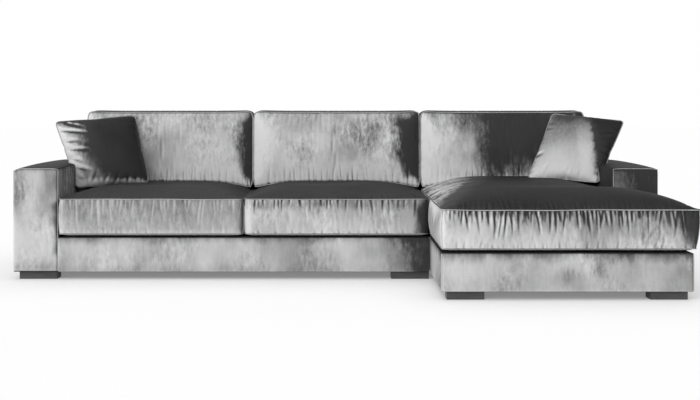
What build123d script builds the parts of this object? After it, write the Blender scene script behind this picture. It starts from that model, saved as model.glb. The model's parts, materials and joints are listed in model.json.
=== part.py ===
from build123d import *
import math
import os

# A corner sofa in two sections: a two-seat section with the left arm, and a chaise section with the
# right arm. X runs to the right as seen from the front, Y to the back and Z up. The origin is on the
# floor, under the middle of the sofa's outline. Everything is in millimetres.

# Driving dimensions
overall_width = 3120
overall_depth = 1650
two_seat_depth = 1040
arm_width = 220
arm_height = 527
arm_crown = 11
join_x = 455
join_gap = 6
foot_height = 37
deck_height = 203
back_height = 655
cushion_top = 807
chaise_inset = 20

# Thicknesses of the covers, boards and rails
cover = 3
dust_cover = 1.5
pad = 12
board = 18
rail = 30
deck_pad_height = 16
deck_flange = 60
deck_tuck = 5
strap = 2
strap_width = 60
strap_step = 128
strap_row_step = 180
strap_ends = 4
dust_cover_edge = 4
arm_shoulder = 16
back_round = 18
back_board = 4
back_upright = 25
back_head = 60
back_pad = 20
back_setback = 160
back_cover_start = 6
back_head_drop = 6
seat_rail_setback = 170
section_straps = 6
two_seat_rows = 4
chaise_rows = 3
first_row = 150
chaise_strap_start = 70

# Lines that the frame is set out from
left = -overall_width / 2
right = overall_width / 2
back = overall_depth / 2
chaise_front = -overall_depth / 2
seat_front = back - two_seat_depth
left_inner = left + arm_width
right_inner = right - arm_width
two_seat_end = join_x - join_gap / 2
chaise_end = join_x + join_gap / 2
chaise_side = right - chaise_inset
frame_bottom = foot_height + dust_cover
pad_bottom = deck_height - cover - deck_pad_height
rail_top = pad_bottom - strap
cross_rail_top = rail_top - strap
seat_rail_front = back - seat_rail_setback
seat_rail_back = seat_rail_front + rail
lean = 5

# Feet: width along X, depth along Y, and how far they stand in from the front and back
two_seat_foot_width = 183
chaise_foot_width = 162
foot_depth = 80
foot_setback = 22
rear_foot_extra = 20
outer_foot_inset = 119
join_foot_inset = -1
near_foot_inset = 24
foot_bolt_radius = 4
bolt_head_radius = 8
bolt_length = 75
bolt_clearance = 0.5
bolt_fit = 0.1
counterbore_depth = 10
counterbore_radius = bolt_head_radius + 2
bolt_socket_radius = 3.5
bolt_socket_depth = 3
corner_chamfer = 2
block_size = 92
block_top = 110
block_shift = 20

# Cushions
seat_gap = 2
seat_cushion_bottom = deck_height + 1
cushion_back_gap = 2
seat_cushion_back = back - back_setback - cushion_back_gap
welt_height = 388
seat_crown = 445
chaise_crown = 462
seat_bulge = 8
seat_set = 1
chaise_bulge = 4
chaise_front_set = 3
chaise_arm_gap = 4
foam_inset = 30
foam_rear = 8
foam_low = 8
foam_top = 16
chaise_foam_inset = 45
zip_reach = 300
zip_slider = 20
zip_half = 4
zip_recess = 1
zip_gap = 1
back_cushion_bottom = 452
back_cushion_thickness = 285
back_cushion_lean = 3
back_cushion_bulge = 24
back_cushion_gap = 3
back_cushion_taper = 10
back_cushion_edge = 3
back_top_crown = 3
fibre_front_inset = 39
scatter_half = 195
scatter_thickness = 140
scatter_seam_half = 3
scatter_end = 8
filling_inset = 14
filling_thinner = 12
slit_half = 150
slit_overrun = 10
slit_deep = 60
slit_gap_half = 0.5

# The two pairs of hooks and loops that join the sections, in the gap between them
connector_places = (0, 500)
hook_half = 20
hook_plate = 1.4
hook_tongue = 1.5
hook_low = 62
hook_top = 117
hook_reach = 30
loop_half = 35
loop_foot = 9
loop_steel = 1.2
loop_stand = 3
loop_low = 66
loop_top = 114


def block(x0, x1, y0, y1, z0, z1):
    """A plain box between two corners."""
    size = Box(x1 - x0, y1 - y0, z1 - z0)
    return Pos((x0 + x1) / 2, (y0 + y1) / 2, (z0 + z1) / 2) * size


def post(x, y, z0, z1, radius):
    """An upright cylinder."""
    return Pos(x, y, (z0 + z1) / 2) * Cylinder(radius, z1 - z0)


def group(solids):
    """Separate solids that share one node."""
    return Compound(children=list(solids))


def prism_x(points, x0, x1):
    """A side outline of (y, z) points, pushed out along X."""
    outline = Polyline(*[(x0, y, z) for y, z in points], close=True)
    return extrude(make_face(outline), amount=x1 - x0, dir=(1, 0, 0))


def prism_z(points, z0, z1):
    """A floor outline of (x, y) points, pushed up along Z."""
    outline = Polyline(*[(x, y, z0) for x, y in points], close=True)
    return extrude(make_face(outline), amount=z1 - z0, dir=(0, 0, 1))


# Feet and what holds them


def foot(x, y, width):
    """A block foot with a counterbored hole for its bolt."""
    body = block(x - width / 2, x + width / 2, y - foot_depth / 2, y + foot_depth / 2, 0, foot_height)
    body = chamfer(body.edges().filter_by(Axis.Z), corner_chamfer)
    body -= post(x, y, 0, counterbore_depth, counterbore_radius)
    return body - post(x, y, counterbore_depth, foot_height, foot_bolt_radius + bolt_clearance)


def foot_bolt(x, y):
    """A bolt with a hexagon socket that goes up through the foot into its block."""
    low = counterbore_depth / 2
    top = counterbore_depth
    head = post(x, y, low, top, bolt_head_radius)
    socket = Pos(x, y, low) * extrude(RegularPolygon(bolt_socket_radius, 6), amount=bolt_socket_depth)
    return head - socket + post(x, y, top, top + bolt_length, foot_bolt_radius)


def foot_block(x, y, shift):
    """The timber block that the foot bolt screws into, moved back by shift to clear the front board."""
    half = block_size / 2
    body = block(x - half, x + half, y - half + shift, y + half + shift, frame_bottom, block_top)
    return body - post(x, y, frame_bottom, block_top, foot_bolt_radius + bolt_fit)


def dust_sheet(points, feet):
    """The cloth under a section, with a hole for each foot bolt."""
    sheet = prism_z(points, foot_height, frame_bottom)
    for x, y in feet:
        sheet -= post(x, y, foot_height, frame_bottom, foot_bolt_radius + bolt_clearance)
    return sheet


# Seat webbing


def straps_along_y(places, y0, y1, z):
    """Elastic straps that run from front to back, stapled on the rails at both ends."""
    half = strap_width / 2
    return [block(x - half, x + half, y0, y1, z, z + strap) for x in places]


def straps_along_x(places, x0, x1, z):
    """Elastic straps that run across a section, stapled on the rails at both ends."""
    half = strap_width / 2
    return [block(x0, x1, y - half, y + half, z, z + strap) for y in places]


# Arms


def arm_form(x0, x1, y0, y1, inset):
    """The arm's outer shape, drawn in by inset: upright sides, round shoulders and a crowned top."""
    a = x0 + inset
    b = x1 - inset
    top = arm_height - inset
    r = arm_shoulder - inset
    k = r * (1 - math.sqrt(0.5))
    low = frame_bottom
    edges = [
        Line((a, y0 + inset, low), (b, y0 + inset, low)),
        Line((b, y0 + inset, low), (b, y0 + inset, top - r)),
        ThreePointArc((b, y0 + inset, top - r), (b - k, y0 + inset, top - k), (b - r, y0 + inset, top)),
        ThreePointArc(
            (b - r, y0 + inset, top), ((a + b) / 2, y0 + inset, top + arm_crown), (a + r, y0 + inset, top)
        ),
        ThreePointArc((a + r, y0 + inset, top), (a + k, y0 + inset, top - k), (a, y0 + inset, top - r)),
        Line((a, y0 + inset, top - r), (a, y0 + inset, low)),
    ]
    face = Face(Wire(edges))
    return extrude(face, amount=y1 - y0 - 2 * inset, dir=(0, 1, 0))


def arm(x0, x1):
    """One arm: its boards, the padding round them and the velvet cover over it."""
    y0 = seat_front
    y1 = back
    skin = cover + pad
    top = arm_height - cover - pad
    outer = arm_form(x0, x1, y0, y1, 0)
    inner = arm_form(x0, x1, y0, y1, cover)
    core = block(x0 + skin, x1 - skin, y0 + skin, y1 - skin, frame_bottom, top)
    a = x0 + skin
    b = x1 - skin
    c = y0 + skin
    d = y1 - skin
    under = top - board
    boards = [
        block(a, a + board, c, d, frame_bottom, under),
        block(b - board, b, c, d, frame_bottom, under),
        block(a + board, b - board, c, c + board, frame_bottom, under),
        block(a + board, b - board, d - board, d, frame_bottom, under),
        block(a, b, c, d, under, top),
    ]
    return outer - inner, inner - core, boards


# Backs


def back_slope(z):
    """Where the padded front of the back stands at height z."""
    return back - back_setback + (z - deck_height) * math.tan(math.radians(lean))


def back_form(x0, x1, inset, low):
    """The solid shape of a section's back above low, with a rounded top edge at front and rear."""
    step = inset / math.cos(math.radians(lean))
    top = back_height - inset
    points = [
        (back_slope(low) + step, low),
        (back_slope(top) + step, top),
        (back - inset, top),
        (back - inset, low),
    ]
    form = prism_x(points, x0, x1)
    ridge = form.edges().filter_by(Axis.X).group_by(Axis.Z)[-1]
    return fillet(ridge, back_round - inset / 2)


def section_back(x0, x1, uprights):
    """One section's back: the frame solids, the padding and the velvet cover."""
    low = pad_bottom
    skin = cover + back_pad
    cover_low = low + back_cover_start
    shell = back_form(x0, x1, 0, cover_low) - back_form(x0, x1, cover, low)
    shell += block(x0, x1, back - cover, back, frame_bottom, cover_low)
    top = back_height - cover - pad - back_head_drop
    step = skin / math.cos(math.radians(lean))
    rear = back - cover
    envelope = prism_x(
        [(back_slope(low) + step, low), (back_slope(top) + step, top), (rear, top), (rear, low)], x0, x1
    )
    padding = back_form(x0, x1, cover, low) - envelope
    rail_low = top - back_head
    front_low = back_slope(low) + step
    side = [
        (seat_rail_back, frame_bottom),
        (seat_rail_back, low),
        (max(front_low, seat_rail_back), low),
        (back_slope(rail_low) + step, rail_low),
        (rear - back_board, rail_low),
        (rear - back_board, frame_bottom),
    ]
    frame = [prism_x(side, x, x + back_upright) for x in uprights]
    head = [
        (back_slope(rail_low) + step, rail_low),
        (back_slope(top) + step, top),
        (rear - back_board, top),
        (rear - back_board, rail_low),
    ]
    frame.append(prism_x(head, x0, x1))
    frame.append(block(x0, x1, rear - back_board, rear, frame_bottom, top))
    return frame, padding, shell


# Soft forms


def arch_x(x, front, rear, bottom, edge, crown, bulge):
    """Side outline of a seat cushion at x: flat below, bulging front, arched top, upright rear."""
    middle = (front + rear) / 2
    high = (bottom + edge) / 2
    edges = [
        Line((x, rear, bottom), (x, front, bottom)),
        ThreePointArc((x, front, bottom), (x, front - bulge, high), (x, front, edge)),
        ThreePointArc((x, front, edge), (x, middle, crown), (x, rear, edge)),
        Line((x, rear, edge), (x, rear, bottom)),
    ]
    return Face(Wire(edges))


def seat_form(x0, x1, front, rear, bottom, edge, crown):
    """A boxed seat cushion: crowned top, front face that bulges, and corners drawn in at both ends."""
    half = (x1 - x0) / 2
    middle = (x0 + x1) / 2
    sections = []
    for share, draw, rise in (
        (-1, 10, 0.12),
        (-0.965, 2, 0.3),
        (-0.8, 0, 0.66),
        (-0.45, 3, 0.93),
        (0, 5, 1),
        (0.45, 3, 0.93),
        (0.8, 0, 0.66),
        (0.965, 2, 0.3),
        (1, 10, 0.12),
    ):
        top = edge - draw / 2
        sections.append(
            arch_x(
                middle + share * half,
                front + draw,
                rear,
                bottom,
                top,
                top + rise * (crown - edge),
                seat_bulge,
            )
        )
    return loft(sections)


def arch_height(x, x0, x1, edge, crown):
    """Height at x of the round arch from (x0, edge) to (x1, edge) that rises to crown halfway."""
    half = (x1 - x0) / 2
    rise = crown - edge
    radius = (half * half + rise * rise) / (2 * rise)
    return crown - radius + math.sqrt(radius * radius - (x - x0 - half) ** 2)


def arch_y(y, x0, x1, bottom, top0, middle, top1, bulge):
    """Front outline of the chaise cushion at y: flat below, bulging sides, and an arch over the top."""
    high0 = (bottom + top0) / 2
    high1 = (bottom + top1) / 2
    edges = [
        Line((x0, y, bottom), (x1, y, bottom)),
        ThreePointArc((x1, y, bottom), (x1 + bulge, y, high1), (x1, y, top1)),
        ThreePointArc((x1, y, top1), ((x0 + x1) / 2, y, middle), (x0, y, top0)),
        ThreePointArc((x0, y, top0), (x0 - bulge, y, high0), (x0, y, bottom)),
    ]
    return Face(Wire(edges))


def chaise_form(bottom, edge, crown):
    """The L-shaped chaise cushion: a wide crowned front that runs on into a narrower rear."""
    x0 = chaise_end + seat_gap + chaise_bulge
    x1 = right - chaise_bulge
    inner = right_inner - seat_gap - chaise_bulge
    y0 = chaise_front + chaise_front_set
    y1 = seat_front - chaise_arm_gap
    sections = []
    for share, draw, rise in (
        (0, 9, 0.1),
        (0.04, 3, 0.36),
        (0.12, 1, 0.6),
        (0.24, 1, 0.8),
        (0.38, 1, 0.92),
        (0.54, 1, 0.98),
        (0.7, 1, 1),
        (0.85, 1, 1),
        (1, 1, 1),
    ):
        y = y0 + share * (y1 - y0)
        top = edge - draw / 3
        middle = edge + rise * (crown - edge)
        sections.append(arch_y(y, x0 + draw, x1 - draw, bottom, top, middle, top, chaise_bulge))
    front_part = loft(sections)
    step = arch_height(inner, x0, x1, edge, crown)
    arch = arch_height((x0 + inner) / 2, x0, x1, edge, crown)
    sections = []
    for share, draw, rise, lift in (
        (-0.04, 1, 1, 1),
        (0.02, 1, 1, 1),
        (0.2, 1, 1, 0.5),
        (0.45, 1, 1, 0.1),
        (0.75, 1, 0.8, 0),
        (0.96, 2, 0.36, 0),
        (1, 9, 0.1, 0),
    ):
        y = y1 + share * (seat_cushion_back - y1)
        top = edge - draw / 3
        middle = edge + rise * (arch - edge)
        side = edge + lift * (step - edge)
        sections.append(arch_y(y, x0 + draw, inner - draw, bottom, top, middle, side, chaise_bulge))
    return front_part + loft(sections)


def back_arch(x, thick_low, thick_high, bottom, top, bulge, crown):
    """Side outline of a back cushion at x, with its flat rear at y = 0."""
    thick = (thick_low + thick_high) / 2
    high = (bottom + top) / 2
    edges = [
        Line((x, 0, top), (x, 0, bottom)),
        Line((x, 0, bottom), (x, -thick_low, bottom)),
        ThreePointArc((x, -thick_low, bottom), (x, -thick - bulge, high), (x, -thick_high, top)),
        ThreePointArc((x, -thick_high, top), (x, -thick_high / 2, top + crown), (x, 0, top)),
    ]
    return Face(Wire(edges))


def back_cushion_form(x0, x1):
    """A boxed back cushion with a bulging front, leaning on the back of its section."""
    half = (x1 - x0) / 2
    middle = (x0 + x1) / 2
    height = (cushion_top - back_cushion_bottom) / math.cos(math.radians(back_cushion_lean))
    thick = back_cushion_thickness
    sections = []
    for share, draw, swell in (
        (-1, 22, 0.1),
        (-0.96, 6, 0.35),
        (-0.8, 0, 0.7),
        (-0.45, 3, 0.95),
        (0, 4, 1),
        (0.45, 3, 0.95),
        (0.8, 0, 0.7),
        (0.96, 6, 0.35),
        (1, 22, 0.1),
    ):
        sections.append(
            back_arch(
                middle + share * half,
                thick - draw,
                thick - back_cushion_taper - draw,
                draw / 4,
                height - draw / 2 - back_cushion_edge,
                swell * back_cushion_bulge,
                back_top_crown,
            )
        )
    return back_cushion_place() * loft(sections)


def back_cushion_place():
    """Where a back cushion's own frame stands, at the foot of its flat rear."""
    y = back_slope(back_cushion_bottom) - back_cushion_gap
    return Pos(0, y, back_cushion_bottom) * Rot(-back_cushion_lean, 0, 0)


def pillow_arch(x, half, thickness):
    """Lens outline of a scatter cushion at x, across its own Y, with a narrow seam at each tip."""
    seam = scatter_seam_half
    edges = [
        Line((x, -half, seam), (x, -half, -seam)),
        ThreePointArc((x, -half, -seam), (x, 0, -thickness / 2), (x, half, -seam)),
        Line((x, half, -seam), (x, half, seam)),
        ThreePointArc((x, half, seam), (x, 0, thickness / 2), (x, -half, seam)),
    ]
    return Face(Wire(edges))


def pillow_form(half, thickness):
    """A knife-edged scatter cushion, lying flat: plump in the middle, its sides drawn in."""
    sections = []
    for share, draw, plump in (
        (-1, 4, 0.1),
        (-0.9, 6, 0.36),
        (-0.7, 12, 0.7),
        (-0.35, 20, 0.94),
        (0, 24, 1),
        (0.35, 20, 0.94),
        (0.7, 12, 0.7),
        (0.9, 6, 0.36),
        (1, 4, 0.1),
    ):
        sections.append(pillow_arch(share * (half - scatter_end), half - draw, plump * thickness))
    return loft(sections)


def rear_zip(x0, x1, rear, high):
    """The zip's tape and slider in a cushion's rear wall, and the slot that holds them."""
    middle = (x0 + x1) / 2
    inner = rear - foam_rear
    low = high - zip_half
    top = high + zip_half
    split = middle + zip_reach - zip_slider
    strip = block(middle - zip_reach, split, inner, rear - zip_recess, low, top)
    slider = block(split + zip_gap, middle + zip_reach, inner, rear - zip_recess, low, top)
    slot = block(middle - zip_reach, middle + zip_reach, inner, rear, low, top)
    return [strip, slider], slot


def seat_cushion(x0, x1):
    """A seat cushion as a cover with its fibre wrap, a foam core, and a zip at the rear."""
    front = seat_front - seat_set
    bottom = seat_cushion_bottom
    form = seat_form(x0, x1, front, seat_cushion_back, bottom, welt_height, seat_crown)
    core = block(
        x0 + foam_inset,
        x1 - foam_inset,
        front + foam_inset,
        seat_cushion_back - foam_rear,
        bottom + foam_low,
        welt_height - foam_top,
    )
    zip_parts, slot = rear_zip(x0, x1, seat_cushion_back, (bottom + welt_height) / 2)
    return form - core - slot, core, zip_parts


def chaise_cushion():
    """The chaise cushion as a cover, an L-shaped foam core, and a zip at the rear."""
    bottom = seat_cushion_bottom
    form = chaise_form(bottom, welt_height, chaise_crown)
    x0 = chaise_end + foam_inset
    x1 = right - chaise_foam_inset
    inner = right_inner - chaise_foam_inset
    y0 = chaise_front + chaise_foam_inset
    y1 = seat_front - chaise_foam_inset
    rear = seat_cushion_back - foam_rear
    outline = [(x0, y0), (x1, y0), (x1, y1), (inner, y1), (inner, rear), (x0, rear)]
    core = prism_z(outline, bottom + foam_low, welt_height - foam_top)
    zip_parts, slot = rear_zip(x0, inner, seat_cushion_back, (bottom + welt_height) / 2)
    return form - core - slot, core, zip_parts


def back_cushion(x0, x1):
    """A back cushion as a cover, a fibre core, and a zip along its bottom."""
    form = back_cushion_form(x0, x1)
    place = back_cushion_place()
    height = cushion_top - back_cushion_bottom
    fibre_low = 2 * foam_low
    fibre_front = fibre_front_inset - back_cushion_thickness
    top = height - foam_inset
    core = place * block(x0 + foam_inset, x1 - foam_inset, fibre_front, -foam_rear, fibre_low, top)
    middle = (x0 + x1) / 2
    split = middle + zip_reach - zip_slider
    y0 = -back_cushion_thickness / 2 - zip_half
    y1 = y0 + 2 * zip_half
    zip_low = 2 * zip_recess
    strip = place * block(middle - zip_reach, split, y0, y1, zip_low, fibre_low)
    slider = place * block(split + zip_gap, middle + zip_reach, y0, y1, zip_low, fibre_low)
    slot = place * block(middle - zip_reach, middle + zip_reach, y0, y1, -zip_half, fibre_low)
    return form - core - slot, core, [strip, slider]


def scatter_cushion(plane):
    """A scatter cushion as a cover and the fibre pad in it, with a slit where its zip opens."""
    form = pillow_form(scatter_half, scatter_thickness)
    filling = pillow_form(scatter_half - filling_inset, scatter_thickness - filling_thinner)
    slit_front = -scatter_half - slit_overrun
    slit_rear = slit_deep - scatter_half
    slit = block(-slit_half, slit_half, slit_front, slit_rear, -slit_gap_half, slit_gap_half)
    shell = form - filling - (slit - filling)
    place = Location(plane)
    return place * shell, place * filling


# Connectors


def connector_loop(y):
    """The loop on the two-seat section: a bar on two feet that the hook's tongue drops behind."""
    out = two_seat_end + loop_stand
    bar = block(out, out + loop_steel, y - loop_half, y + loop_half, loop_low, loop_top)
    near_foot = block(two_seat_end, out, y - loop_half, y - loop_half + loop_foot, loop_low, loop_top)
    far_foot = block(two_seat_end, out, y + loop_half - loop_foot, y + loop_half, loop_low, loop_top)
    return bar + near_foot + far_foot


def connector_hook(y):
    """The hook on the chaise section: a plate, a bend over the loop, and a tongue behind it."""
    y0 = y - hook_half
    y1 = y + hook_half
    tongue_x = two_seat_end + (loop_stand - hook_tongue) / 2
    bend_low = hook_top - hook_tongue
    plate = block(chaise_end - hook_plate, chaise_end, y0, y1, hook_low, hook_top)
    bend = block(tongue_x, chaise_end, y0, y1, bend_low, hook_top)
    tongue = block(tongue_x, tongue_x + hook_tongue, y0, y1, hook_top - hook_reach, hook_top)
    return plate + bend + tongue


def evenly(first, last, count):
    """Places from first to last, the same step apart."""
    return [first + i * (last - first) / (count - 1) for i in range(count)]


nodes = {}

# Two-seat section
front_foot_y = seat_front + foot_setback + foot_depth / 2
rear_foot_y = back - foot_setback - foot_depth / 2 - rear_foot_extra
left_foot_x = left + outer_foot_inset
middle_foot_x = two_seat_end - join_foot_inset - two_seat_foot_width / 2
two_seat_feet = [(x, y) for x in (left_foot_x, middle_foot_x) for y in (front_foot_y, rear_foot_y)]

arm_cover, arm_padding, arm_boards = arm(left, left_inner)
nodes["left_arm_cover"] = arm_cover
nodes["left_arm_padding"] = arm_padding
nodes["left_arm_panels"] = group(arm_boards)

rail_front = seat_front + cover
nodes["two_seat_front_rail"] = block(
    left_inner, two_seat_end, rail_front, rail_front + rail, frame_bottom, rail_top
)
nodes["two_seat_rear_rail"] = block(
    left_inner, two_seat_end, seat_rail_front, seat_rail_back, frame_bottom, rail_top
)
middle_x = (left_inner + two_seat_end) / 2
rail_ends = (rail_front + rail, seat_rail_front, frame_bottom, cross_rail_top)
nodes["two_seat_cross_rails"] = group(
    [block(x, x + rail, *rail_ends) for x in (left_inner, middle_x - rail / 2, two_seat_end - rail)]
)
nodes["two_seat_corner_blocks"] = group(
    [foot_block(x, y, block_shift if y < 0 else 0) for x, y in two_seat_feet]
)
first = left_inner + rail + strap_step / 2
second = middle_x + rail / 2 + strap_step / 2
seat_places = [start + i * strap_step for start in (first, second) for i in range(section_straps)]
nodes["two_seat_long_webbing"] = group(
    straps_along_y(seat_places, rail_front + strap_ends, seat_rail_back - strap_ends, rail_top)
)
rows = [seat_front + first_row + i * strap_row_step for i in range(two_seat_rows)]
nodes["two_seat_cross_webbing"] = group(
    straps_along_x(rows, left_inner + strap_ends, two_seat_end - strap_ends, cross_rail_top)
)
deck_back = seat_rail_front + deck_tuck
nodes["two_seat_deck_pad"] = block(
    left_inner, two_seat_end, rail_front, deck_back, pad_bottom, deck_height - cover
)
nodes["two_seat_deck_cover"] = block(
    left_inner, two_seat_end, rail_front + deck_flange, deck_back, deck_height - cover, deck_height
)
nodes["two_seat_base_cover"] = block(
    left_inner, two_seat_end, seat_front, rail_front, frame_bottom, deck_height
) + block(left_inner, two_seat_end, rail_front, rail_front + deck_flange, deck_height - cover, deck_height)
nodes["two_seat_dust_cover"] = dust_sheet(
    [
        (left + dust_cover_edge, seat_front + dust_cover_edge),
        (two_seat_end - dust_cover_edge, seat_front + dust_cover_edge),
        (two_seat_end - dust_cover_edge, back - dust_cover_edge),
        (left + dust_cover_edge, back - dust_cover_edge),
    ],
    two_seat_feet,
)
nodes["two_seat_feet"] = group([foot(x, y, two_seat_foot_width) for x, y in two_seat_feet])
nodes["two_seat_foot_bolts"] = group([foot_bolt(x, y) for x, y in two_seat_feet])
uprights = evenly(left_inner, two_seat_end - back_upright, 5)
frame, padding, shell = section_back(left_inner, two_seat_end, uprights)
nodes["two_seat_back_frame"] = group(frame)
nodes["two_seat_back_padding"] = padding
nodes["two_seat_back_cover"] = shell
nodes["two_seat_connector_plates"] = group([connector_loop(y) for y in connector_places])

# Chaise section
chaise_front_foot_y = chaise_front + foot_setback + foot_depth / 2
near_foot_x = chaise_end + near_foot_inset + chaise_foot_width / 2
far_foot_x = right - outer_foot_inset
chaise_feet = [(near_foot_x, chaise_front_foot_y), (far_foot_x, chaise_front_foot_y)]
chaise_feet += [(near_foot_x, rear_foot_y), (far_foot_x, rear_foot_y)]

arm_cover, arm_padding, arm_boards = arm(right_inner, right)
nodes["right_arm_cover"] = arm_cover
nodes["right_arm_padding"] = arm_padding
nodes["right_arm_panels"] = group(arm_boards)

near = chaise_end + cover
far = chaise_side - cover
front = chaise_front + cover
nodes["chaise_front_rail"] = block(near, far, front, front + rail, frame_bottom, rail_top)
nodes["chaise_rear_rail"] = block(
    near, right_inner, seat_rail_front, seat_rail_back, frame_bottom, rail_top
)
nodes["chaise_cross_rails"] = group(
    [
        block(near, near + rail, front + rail, seat_rail_front, frame_bottom, cross_rail_top),
        block(far - rail, far, front + rail, seat_front - rail, frame_bottom, cross_rail_top),
        block(near + rail, far, seat_front - rail, seat_front, frame_bottom, cross_rail_top),
        block(right_inner - rail, right_inner, seat_front, seat_rail_front, frame_bottom, cross_rail_top),
    ]
)
nodes["chaise_corner_blocks"] = group(
    [foot_block(x, y, block_shift if y < 0 else 0) for x, y in chaise_feet]
)
chaise_places = [near + rail + chaise_strap_start + i * strap_step for i in range(section_straps)]
nodes["chaise_long_webbing"] = group(
    straps_along_y(chaise_places, front + strap_ends, seat_rail_back - strap_ends, rail_top)
)
front_rows = [front + rail + (i + 0.5) * strap_row_step for i in range(chaise_rows)]
nodes["chaise_cross_webbing"] = group(
    straps_along_x(front_rows, near + strap_ends, far - strap_ends, cross_rail_top)
    + straps_along_x(rows, near + strap_ends, right_inner - strap_ends, cross_rail_top)
)
nodes["chaise_deck_pad"] = prism_z(
    [
        (near, front),
        (far, front),
        (far, seat_front),
        (right_inner, seat_front),
        (right_inner, deck_back),
        (near, deck_back),
    ],
    pad_bottom,
    deck_height - cover,
)
nodes["chaise_deck_cover"] = prism_z(
    [
        (near, front + deck_flange),
        (far, front + deck_flange),
        (far, seat_front),
        (right_inner, seat_front),
        (right_inner, deck_back),
        (near, deck_back),
    ],
    deck_height - cover,
    deck_height,
)
front_panel = block(chaise_end, chaise_side, chaise_front, front, frame_bottom, deck_height)
front_panel += block(near, far, front, front + deck_flange, deck_height - cover, deck_height)
nodes["chaise_base_cover"] = group(
    [
        front_panel,
        block(chaise_end, near, front, deck_back, frame_bottom, deck_height),
        block(far, chaise_side, front, seat_front, frame_bottom, deck_height),
    ]
)
nodes["chaise_dust_cover"] = dust_sheet(
    [
        (chaise_end + dust_cover_edge, chaise_front + dust_cover_edge),
        (chaise_side - dust_cover_edge, chaise_front + dust_cover_edge),
        (chaise_side - dust_cover_edge, seat_front + dust_cover_edge),
        (right - dust_cover_edge, seat_front + dust_cover_edge),
        (right - dust_cover_edge, back - dust_cover_edge),
        (chaise_end + dust_cover_edge, back - dust_cover_edge),
    ],
    chaise_feet,
)
nodes["chaise_feet"] = group([foot(x, y, chaise_foot_width) for x, y in chaise_feet])
nodes["chaise_foot_bolts"] = group([foot_bolt(x, y) for x, y in chaise_feet])
uprights = evenly(near, right_inner - back_upright, 3)
frame, padding, shell = section_back(chaise_end, right_inner, uprights)
nodes["chaise_back_frame"] = group(frame)
nodes["chaise_back_padding"] = padding
nodes["chaise_back_cover"] = shell
nodes["chaise_connector_hooks"] = group([connector_hook(y) for y in connector_places])

# Loose cushions
seat_ends = {
    "left": (left_inner + seat_gap, middle_x - seat_gap / 2),
    "middle": (middle_x + seat_gap / 2, join_x - seat_gap / 2),
}
for name, (x0, x1) in seat_ends.items():
    shell, core, zip_parts = seat_cushion(x0, x1)
    nodes[f"seat_cushion_{name}_cover"] = shell
    nodes[f"seat_cushion_{name}_core"] = core
    nodes[f"seat_cushion_{name}_zip"] = group(zip_parts)
shell, core, zip_parts = chaise_cushion()
nodes["chaise_cushion_cover"] = shell
nodes["chaise_cushion_core"] = core
nodes["chaise_cushion_zip"] = group(zip_parts)
back_ends = dict(seat_ends)
back_ends["right"] = (join_x + seat_gap / 2, right_inner - seat_gap)
for name, (x0, x1) in back_ends.items():
    shell, core, zip_parts = back_cushion(x0, x1)
    nodes[f"back_cushion_{name}_cover"] = shell
    nodes[f"back_cushion_{name}_core"] = core
    nodes[f"back_cushion_{name}_zip"] = group(zip_parts)
scatter_planes = {
    "left": Plane(origin=(-1182, 261, 619), x_dir=(0.903, 0.421, 0.089), z_dir=(0.363, -0.855, 0.359)),
    "right": Plane(origin=(1190, 224, 609), x_dir=(0.875, -0.481, -0.068), z_dir=(-0.366, -0.745, 0.55)),
}
for name, plane in scatter_planes.items():
    shell, filling = scatter_cushion(plane)
    nodes[f"scatter_cushion_{name}_cover"] = shell
    nodes[f"scatter_cushion_{name}_pad"] = filling

os.makedirs("parts", exist_ok=True)
for name, shape in nodes.items():
    shape.label = name
    export_step(shape, f"parts/{name}.step")
print(len(nodes), "nodes")
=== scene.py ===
# %% [markdown]
# # A velvet corner sofa, dressed
# The frame already holds every board, rail and foot at its real size. This lesson puts the soft
# things on it: the sewn covers, the loose cushions, the piping, and above all the velvet, whose pile
# looks pale when it is brushed towards you and nearly black when it is brushed away. That sheen and
# that shade are painted into the velvet's colour here, by which way each surface faces.

# %% Load the frame
import json
import math
import random

import bmesh
import bpy
from mathutils import Matrix, Vector, noise


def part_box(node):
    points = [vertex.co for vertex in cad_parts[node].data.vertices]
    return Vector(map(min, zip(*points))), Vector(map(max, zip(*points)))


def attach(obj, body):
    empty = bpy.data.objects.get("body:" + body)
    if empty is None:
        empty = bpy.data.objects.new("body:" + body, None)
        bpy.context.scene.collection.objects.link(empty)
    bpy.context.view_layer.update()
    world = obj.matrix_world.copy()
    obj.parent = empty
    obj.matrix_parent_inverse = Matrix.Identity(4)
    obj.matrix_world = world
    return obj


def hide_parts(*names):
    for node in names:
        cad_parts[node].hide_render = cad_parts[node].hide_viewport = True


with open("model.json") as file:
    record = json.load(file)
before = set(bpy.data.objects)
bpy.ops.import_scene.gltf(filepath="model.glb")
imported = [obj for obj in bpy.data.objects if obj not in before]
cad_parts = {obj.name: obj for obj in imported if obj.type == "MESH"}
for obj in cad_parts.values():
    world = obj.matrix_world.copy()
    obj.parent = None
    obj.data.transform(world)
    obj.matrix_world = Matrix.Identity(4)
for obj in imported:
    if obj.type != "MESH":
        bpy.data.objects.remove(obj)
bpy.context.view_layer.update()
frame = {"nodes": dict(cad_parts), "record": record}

# %% [markdown]
# ## The camera
# The photograph was taken square on to the sofa, with the camera level and a little above the back
# cushions: upright edges stay upright, and the vanishing point sits above the middle of the frame.
# A level camera with a lens shift does the same. Turning the camera down instead would make the
# sofa's sides lean, so the shift is the right tool.

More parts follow.
